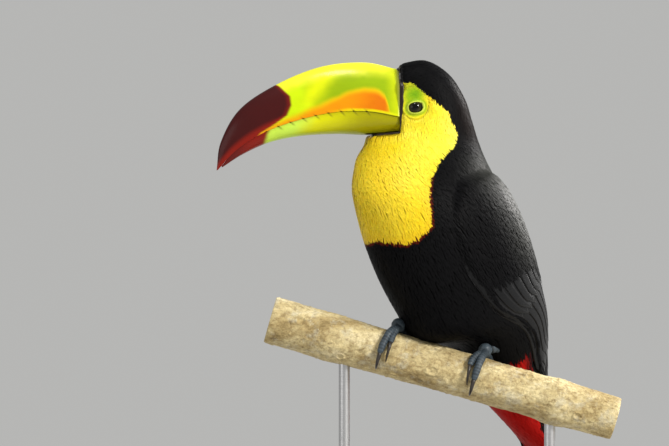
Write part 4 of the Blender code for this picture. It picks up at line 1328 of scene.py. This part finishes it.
def blades(t, angle, long, wide, kind, draw):
    """Closed blades: rings of four points round the centre line, flat, cupped over the body, rising
    from under the skin to the coat's surface at their tips. Gives points, faces, shades, and where the
    tips lie on the plumage surface."""
    count = len(t)
    places, widths, shades = BLADE[kind]
    stops = np.array([0.0, *places, 1.0])
    swing = draw.normal(0, FEATHER_SWING, count)
    centre, way, out, rise = laid_along(t, angle, long, swing, stops)
    deep = spline(COAT_DEPTH, t)[:, None] * (1 - stops) ** BLADE_RISE - rise
    stir = draw.normal(0, FEATHER_STIR, count)[:, None] * np.clip(wide, 0, 1.6)[:, None] * stops**1.5
    height = -deep + stir - BLADE_DIP * wide[:, None] * stops**6
    middle = centre + out * height[..., None]
    half = wide[:, None] / 2 * np.array(widths)
    way, out, inner = way[:, 1:-1], out[:, 1:-1], middle[:, 1:-1]
    across = np.cross(way, out) * half[..., None]
    up = out * (BLADE_THICK * wide)[:, None, None]
    edge = inner - out * (BLADE_CUP * half)[..., None]
    rings = np.stack([edge + across, inner + up, edge - across, inner - up * 0.6], 2)
    points = np.concatenate([rings.reshape(count, -1, 3), middle[:, [0, -1]]], 1)
    shade = np.concatenate([np.repeat(shades, 4), [shades[0] * 0.9, shades[-1]]])
    return points, repeated_faces(count, len(places), 4), shade, centre[:, -1]


def patches(u, v, each, ring, size=0.003):
    """The bake map: each feather is a small patch at its root's place, its points spread over it."""
    u, v = (0.02 + 0.96 * (f - f.min()) / max(np.ptp(f), 1e-6) for f in (u, v))
    place = np.arange(each)
    over = np.where(place < each - 2, (place % ring) / (ring - 1), 0.5)
    down = np.where(place < each - 2, (place // ring + 0.5) / ((each - 2) / ring), place - (each - 2.0))
    spread = np.stack([over - 0.5, down - 0.5], -1) * size
    return (np.stack([u, v], -1)[:, None] + spread[None]).reshape(-1, 2)


def coat_finish(name, soft, usual_gloss):
    """Feathers in the bird's markings: each in its own tone with fine streaks. Light passes a little
    way through the soft ones, and each has its own gloss; the usual one stands on the socket, for
    programs that take no gloss from an attribute."""
    made, tree, shader = finish_of(name, IOR=1.3, Subsurface_Weight=soft, Specular_IOR_Level=usual_gloss,
                                   Subsurface_Radius=(0.0022, 0.0014, 0.0004))
    feed(tree, shader, "Specular IOR Level", field(tree, "gloss"))
    streak = spots(tree, 1300.0, 2.0)
    shade = ramp(tree, streak, [(0.3, 0.82), (0.7, 1.04)])
    feed(tree, shader, "Base Color", mixed(tree, 1.0, field(tree, "tone", "Color"), shade, "MULTIPLY"))
    feed(tree, shader, "Roughness", ramp(tree, streak, [(0.3, 0.54), (0.7, 0.40)]))
    relief(tree, shader, streak, 0.05, 0.4)
    return made


def coat():
    """All the body's feathers, sorted into pieces by station and side. A feather takes the markings
    of the place where it shows, most of its length further tailward than its root."""
    draw = np.random.default_rng(20)
    t, angle = coat_roots(draw)
    long, wide, bib = feather_size(t, angle)
    long, wide = (size * draw.uniform(*SIZES, len(t)) for size in (long, wide))
    degrees = np.degrees(from_side(angle))
    mantle = ease(degrees, 22, 62) * ease(t, 4.2, 5.4) * (1 - ease(t, 6.0, 6.9))
    shine = GLOSS[0] + (GLOSS[1] - GLOSS[0]) * mantle
    finishes = {True: coat_finish("golden_feathers", 0.35, GLOSS[2]),
                False: coat_finish("black_feathers", 0.0, BLACK_GLOSS)}
    for name, (t_from, t_to, degrees_from, degrees_to, golden) in PIECES.items():
        chosen = (t >= t_from) & (t < t_to) & (bib == golden)
        chosen = chosen & (degrees > degrees_from) & (degrees <= degrees_to)
        own_t, own_angle, own_long, own_wide = (f[chosen] for f in (t, angle, long, wide))
        kind = "fine" if own_wide.mean() < FINE_UNDER else "broad"
        points, faces, shade, where = blades(own_t, own_angle, own_long, own_wide, kind, draw)
        ahead = SHOWN_AT * own_long / np.linalg.norm(slopes(plumage, own_t, own_angle)[0], axis=-1)
        tone = markings(np.clip(own_t - ahead, 0, LAST), own_angle, where, 0.45)
        gloss = np.where((own_t > 5) & (tone[:, 0] > 0.3), GLOSS[2], shine[chosen])
        tone = tone * draw.uniform(*TONES, len(tone))[:, None]
        # Each blade's colour is darkened towards its root: painted shade under the feathers over it.
        tone = tone[:, None] * shade[None, :, None]
        cut_at = math.pi / 2 if name in SPLIT_BELOW else -math.pi / 2
        bake_map = patches((own_angle + cut_at) % TURN, own_t, points.shape[1], 4)
        fields = {"tone": tone.reshape(-1, 3), "gloss": np.repeat(gloss, points.shape[1])}
        piece(name, (points.reshape(-1, 3), faces), finishes[golden], fields=fields,
              bake_map=bake_map, crease=60)


coat()


# ==== wings ======================================================================================
# Folded wings of stiff black feathers: primaries lowest, secondaries over them with the innermost on
# top, then the greater coverts. Each is a separate vane. The small feathers above are the body coat's.
WING_ROWS = {  # count, across from and to, base from and to, tip from and to, half width, layer height
    "primaries": (7, (0.16, 0.52), (0.36, 0.60), (0.80, 0.995), 6.5, -2.2),
    "secondaries": (9, (0.06, 0.94), (0.22, 0.30), (0.60, 0.80), 8.5, -1.2),
    "greater": (11, (0.03, 0.97), (0.20, 0.24), (0.44, 0.54), 6.2, -0.6),
}
VANE_RINGS, VANE_AROUND = 15, 10
VANE_THICK, VANE_ROOT, VANE_CURL, VANE_SWEEP = 0.32, 1.3, 0.25, 0.012
VANE_TILT, VANE_MEET = -0.35, 0.86  # how neighbours overlap, and how the tips draw together
WING_BLACK, WING_WORN_AND_GLINT = (0.0065, 0.0068, 0.0075), (0.014, 0.014, 0.015)


def wing_point(share, over, height):
    """A point on the left wing's outer surface: share down it, over across it from its front edge."""
    t = WING_TOP + (WING_TIP - WING_TOP) * share
    middle, width, rounded = wing_width(share)
    angle = np.radians(middle + width * (over - 0.5))
    return plumage(t, angle) + outward(t, angle) * (wing_crown(share, over, rounded) + height)[..., None]


def vane_section(around):
    """Round a vane's section: across from -1 to 1, and up or down, thin at the edges and thickest over
    the shaft."""
    turn = round_angles(around)
    across = np.cos(turn)
    thick = (0.35 + 0.65 * bell(across, size=0.16)) * (np.abs(np.sin(turn)) > 0.01)
    return across, np.sign(np.sin(turn)) * thick


def vane_width(down, blunt=0.12):
    """A vane's half width down its length: a narrow base, nearly even sides, and a rounded tip."""
    base = 0.25 + 0.75 * ease(down, 0.0, 0.35)
    tip = np.sqrt(np.clip(1 - np.clip((down - 1 + blunt) / blunt, 0, 1) ** 2, 0, 1))
    return base * (0.12 + 0.88 * tip)


def vanes(surface, base, tip, over_base, over_tip, half, width_of, layer, tilt, draw, rings=VANE_RINGS):
    """Closed vanes on a surface with parameters share and over: rings across each centre line, their
    width set in millimetres, tilted so that neighbours overlap, their edges curled down and swept back.
    Gives points and faces, how far across, how far down and which vane each point is, and how many
    points a vane has."""
    count, around = len(base), VANE_AROUND
    down = np.linspace(0, 1, rings) ** 0.85
    share = base[:, None] + (tip - base)[:, None] * down
    middle = over_base[:, None] + (over_tip - over_base)[:, None] * down**1.2
    across, up = vane_section(around)
    width = half[:, None] * vane_width(down) / width_of(share)
    over = middle[..., None] + width[..., None] * across
    height = layer[:, None, None] + tilt * across * vane_width(down)[:, None] + VANE_THICK * up * 0.5
    height = height - VANE_ROOT * (1 - ease(down, 0.0, 0.5))[:, None] - VANE_CURL * across**2
    body = surface(share[..., None] - VANE_SWEEP * across**2, over, height)
    body = body.reshape(count, rings * around, 3)
    ends = np.stack([body[:, :around].mean(1), body[:, -around:].mean(1)], 1)
    points = np.concatenate([body, ends], 1)
    each = points.shape[1]
    long = np.linalg.norm(body[:, -around] - body[:, 0], axis=-1)[:, None]
    across_field = np.append(np.tile(across, rings), [0, 0])
    down_field = long * np.append(np.repeat(down, around), [0, 1])
    field = stacked(across_field, down_field, draw.random(count)[:, None])
    return (points.reshape(-1, 3), repeated_faces(count, rings, around)), field.reshape(-1, 3), each


def vane_finish(name, dark, edge, sheen):
    """A flight feather: fine slanting barbs, a raised shaft, a soft gloss, and a paler shaft and edge
    that are partly wear and partly painted glint.
    """
    made, tree, shader = finish_of(name, IOR=1.2, Sheen_Weight=sheen, Sheen_Roughness=0.35)
    vane = field(tree, "vane", "Vector")
    across, down, seed = add(tree, "SeparateXYZ", {0: vane}).outputs
    far = math_of(tree, "ABSOLUTE", across)
    slant = math_of(tree, "SUBTRACT", down, math_of(tree, "MULTIPLY", far, 5.0))
    barb = math_of(tree, "SINE", math_of(tree, "MULTIPLY", slant, 8.0))
    # Paler along the shaft and at the edge: partly wear, partly painted glint.
    tone = ramp(tree, far, [(0.0, edge), (0.05, edge), (0.1, dark), (0.86, dark), (1.0, edge)])
    own = ramp(tree, seed, [(0.0, 0.75), (1.0, 1.2)])
    feed(tree, shader, "Base Color", mixed(tree, 1.0, tone, own, "MULTIPLY"))
    rough = math_of(tree, "ADD", math_of(tree, "MULTIPLY", spots(tree, 300.0, 3.0), 0.2), 0.3)
    feed(tree, shader, "Roughness", rough)
    relief(tree, shader, math_of(tree, "ADD", math_of(tree, "MULTIPLY", barb, 0.5), 0.5), 0.1, 0.5)
    return made


def wing_feathers(draw):
    """All the rows of one wing, from the primaries up. Its width across in millimetres is measured
    on the surface near the wing's middle."""
    shapes, fields, places = [], [], []
    share = np.linspace(0, 1, 60)
    near = [wing_point(share, over + 0 * share, 0 * share) for over in (0.51, 0.49)]
    span = np.maximum(np.linalg.norm(near[0] - near[1], axis=-1) / 0.02, 9.0)
    for count, over, base, tip, half, layer in WING_ROWS.values():
        order = np.linspace(0, 1, count)
        middle = over[0] + (over[1] - over[0]) * order
        start = base[0] + (base[1] - base[0]) * order + draw.normal(0, 0.004, count)
        end = tip[1] + (tip[0] - tip[1]) * order + draw.normal(0, 0.006, count)
        meet = 0.5 + (middle - 0.5) * VANE_MEET
        lift = layer + 0.5 * (order - 0.5)
        shape, row_field, each = vanes(wing_point, start, end, middle, meet, np.full(count, half),
                                       lambda at: np.interp(at, share, span), lift, VANE_TILT, draw)
        shapes.append(shape)
        fields.append(row_field)
        places.append(patches(middle, end, each, VANE_AROUND))
    return joined(shapes), np.concatenate(fields), np.concatenate(places)


wing_black = vane_finish("wing_feathers", WING_BLACK, WING_WORN_AND_GLINT, 0.03)
(wing_points, wing_faces), wing_field, wing_map = wing_feathers(np.random.default_rng(31))
wing_forward, wing_left, wing_up = head_place(wing_points, BODY_YAW)
other_side = turned(wing_forward, -wing_left, wing_up, BODY_YAW)
for side, points in (("left", wing_points), ("right", other_side)):
    piece(f"wing_coat_{side}", (points, wing_faces), wing_black, fields={"vane": wing_field},
          bake_map=wing_map)


# ==== tail =======================================================================================
# Ten long black tail feathers closed into one blade, a shallow roof: the middle pair lies on top, and
# the outer ones each below the last. They grow from the end of the skin.
TAIL_SPREAD, TAIL_DRAWN = 0.80, 0.8  # how far out the tips lie, and the bases as a share of that
TAIL_FROM, TAIL_TO = 0.06, 0.992
TAIL_VANE, TAIL_TOP, TAIL_STACK = 7.6, 0.65, 1.3  # half width, and height of the layers
TAIL_BLACK, TAIL_WORN_AND_GLINT = (0.0060, 0.0062, 0.0068), (0.013, 0.013, 0.014)


def tail_feathers(draw):
    """The ten tail feathers side by side, each lower by its distance from the middle."""
    place = np.linspace(-TAIL_SPREAD, TAIL_SPREAD, TAIL_FEATHERS)
    start, end, half = (np.full(TAIL_FEATHERS, value) for value in (TAIL_FROM, TAIL_TO, TAIL_VANE))
    layer = TAIL_TOP - TAIL_STACK * np.abs(place)

    def surface(share, over, height):
        """A point of the tail's middle layer, moved up by a height in millimetres."""
        over, share = np.broadcast_arrays(over, share)
        base = tail_point(share, over, 0 * share)
        above = tail_point(share, over, 0 * share + 2.0)
        return base + unit(above - base) * height[..., None]

    shape, field, each = vanes(surface, start, end, place * TAIL_DRAWN, place, half,
                               lambda share: along(TAIL_HALF_WIDTH, share), layer, 0.0, draw, rings=22)
    return shape, field, patches(place, np.abs(place), each, VANE_AROUND)


tail_black = vane_finish("tail_feathers", TAIL_BLACK, TAIL_WORN_AND_GLINT, 0.03)
tail_shape, tail_field, tail_map = tail_feathers(np.random.default_rng(41))
piece("tail_coat", tail_shape, tail_black, fields={"vane": tail_field}, bake_map=tail_map)


# ==== stage, lights and camera ===================================================================
# A plain pale floor in a plain soft studio. Its edge fades into the same light grey all round, so no
# line shows behind the model. The camera stands level with the bird's breast.
STAGE_GREY = (0.47, 0.47, 0.46)
FLOOR_RADIUS, FLOOR_THICK = 6000.0, 2.0
FLOOR_RINGS = (2000.0, 900.0, 400.0, 200.0, 60.0)
FLOOR_FADE = [(0.06, 0.0), (0.3, 1.0)]  # by the share of its radius
CAMERA_FROM, CAMERA_TO = (-82.9, -2614.0, 280.4), (-82.9, -14.0, 280.4)
CAMERA_WIDE = 468.3  # how much of the model's plane the picture is wide
CAMERA_SENSOR = 36.0
LIGHTS_AT = (-70, -20, 290)  # what the lamps point at
LIGHTS = {  # place, size, watts, colour
    "key": ((1550, -1400, 1250), 500, 62, (1.0, 0.97, 0.92)),
    "fill": ((-1500, -1100, 500), 1200, 5, (1.0, 0.98, 0.95)),
    "top": ((-200, -750, 1850), 420, 12, (1.0, 1.0, 1.0)),
    "side": ((1500, 950, 1150), 500, 62, (1.0, 0.98, 0.95)),
}


def floor_finish():
    """Pale matt paint that fades, by distance from the middle, into the light of the room."""
    made, tree, shader = finish_of("pale_floor", Roughness=0.7, Base_Color=(*STAGE_GREY, 1))
    relief(tree, shader, spots(tree, 40.0, 3.0), 0.2, 0.2)
    place = add(tree, "TexCoord").outputs["Object"]
    far = add(tree, "VectorMath", {0: place}, operation="LENGTH").outputs["Value"]
    glow = add(tree, "Emission", {"Color": (*STAGE_GREY, 1), "Strength": 1.0}).outputs[0]
    fade = ramp(tree, math_of(tree, "DIVIDE", far, FLOOR_RADIUS * MM), FLOOR_FADE)
    both = add(tree, "MixShader", {0: fade, 1: shader.outputs[0], 2: glow}).outputs[0]
    tree.links.new(both, tree.nodes["Material Output"].inputs["Surface"])
    return made


def floor():
    """Rings of a flat disc, closed below by another just under it."""
    radii = np.array([FLOOR_RADIUS, FLOOR_RADIUS, *FLOOR_RINGS])[:, None]
    height = np.array([-FLOOR_THICK, 0] + [0] * len(FLOOR_RINGS))[:, None]
    angle = round_angles(96)[None]
    rings = stacked(radii * np.cos(angle), radii * np.sin(angle), height)
    points, face_sets = closed_rings(rings)
    mesh = bpy.data.meshes.new("floor")
    faces = [face.tolist() for face_set in face_sets for face in face_set]
    mesh.from_pydata((points * MM).tolist(), [], faces)
    mesh.materials.append(floor_finish())
    made = bpy.data.objects.new("floor", mesh)
    bpy.context.scene.collection.objects.link(made)


def aimed(made, place, aim):
    """An object put at a place and turned to look at a point."""
    made.location = np.array(place) * MM
    way = mathutils.Vector(np.array(aim) - np.array(place))
    made.rotation_euler = way.to_track_quat("-Z", "Y").to_euler()
    bpy.context.scene.collection.objects.link(made)


floor()
world = bpy.data.worlds.new("studio")
world.use_nodes = True
world.node_tree.nodes["Background"].inputs["Color"].default_value = (*STAGE_GREY, 1)
world.node_tree.nodes["Background"].inputs["Strength"].default_value = 1.0
bpy.context.scene.world = world
for name, (place, size, watts, colour) in LIGHTS.items():
    lamp = bpy.data.lights.new(name, "AREA")
    lamp.shape = "DISK"
    lamp.size = size * MM
    lamp.energy = watts
    lamp.color = colour
    made = bpy.data.objects.new(name, lamp)
    aimed(made, place, LIGHTS_AT)
lens = bpy.data.cameras.new("camera")
lens.sensor_width = CAMERA_SENSOR
lens.lens = CAMERA_SENSOR * (CAMERA_TO[1] - CAMERA_FROM[1]) / CAMERA_WIDE
lens.clip_end = 100
camera = bpy.data.objects.new("camera", lens)
aimed(camera, CAMERA_FROM, CAMERA_TO)
bpy.context.scene.camera = camera
bpy.context.scene.view_settings.view_transform = "Standard"
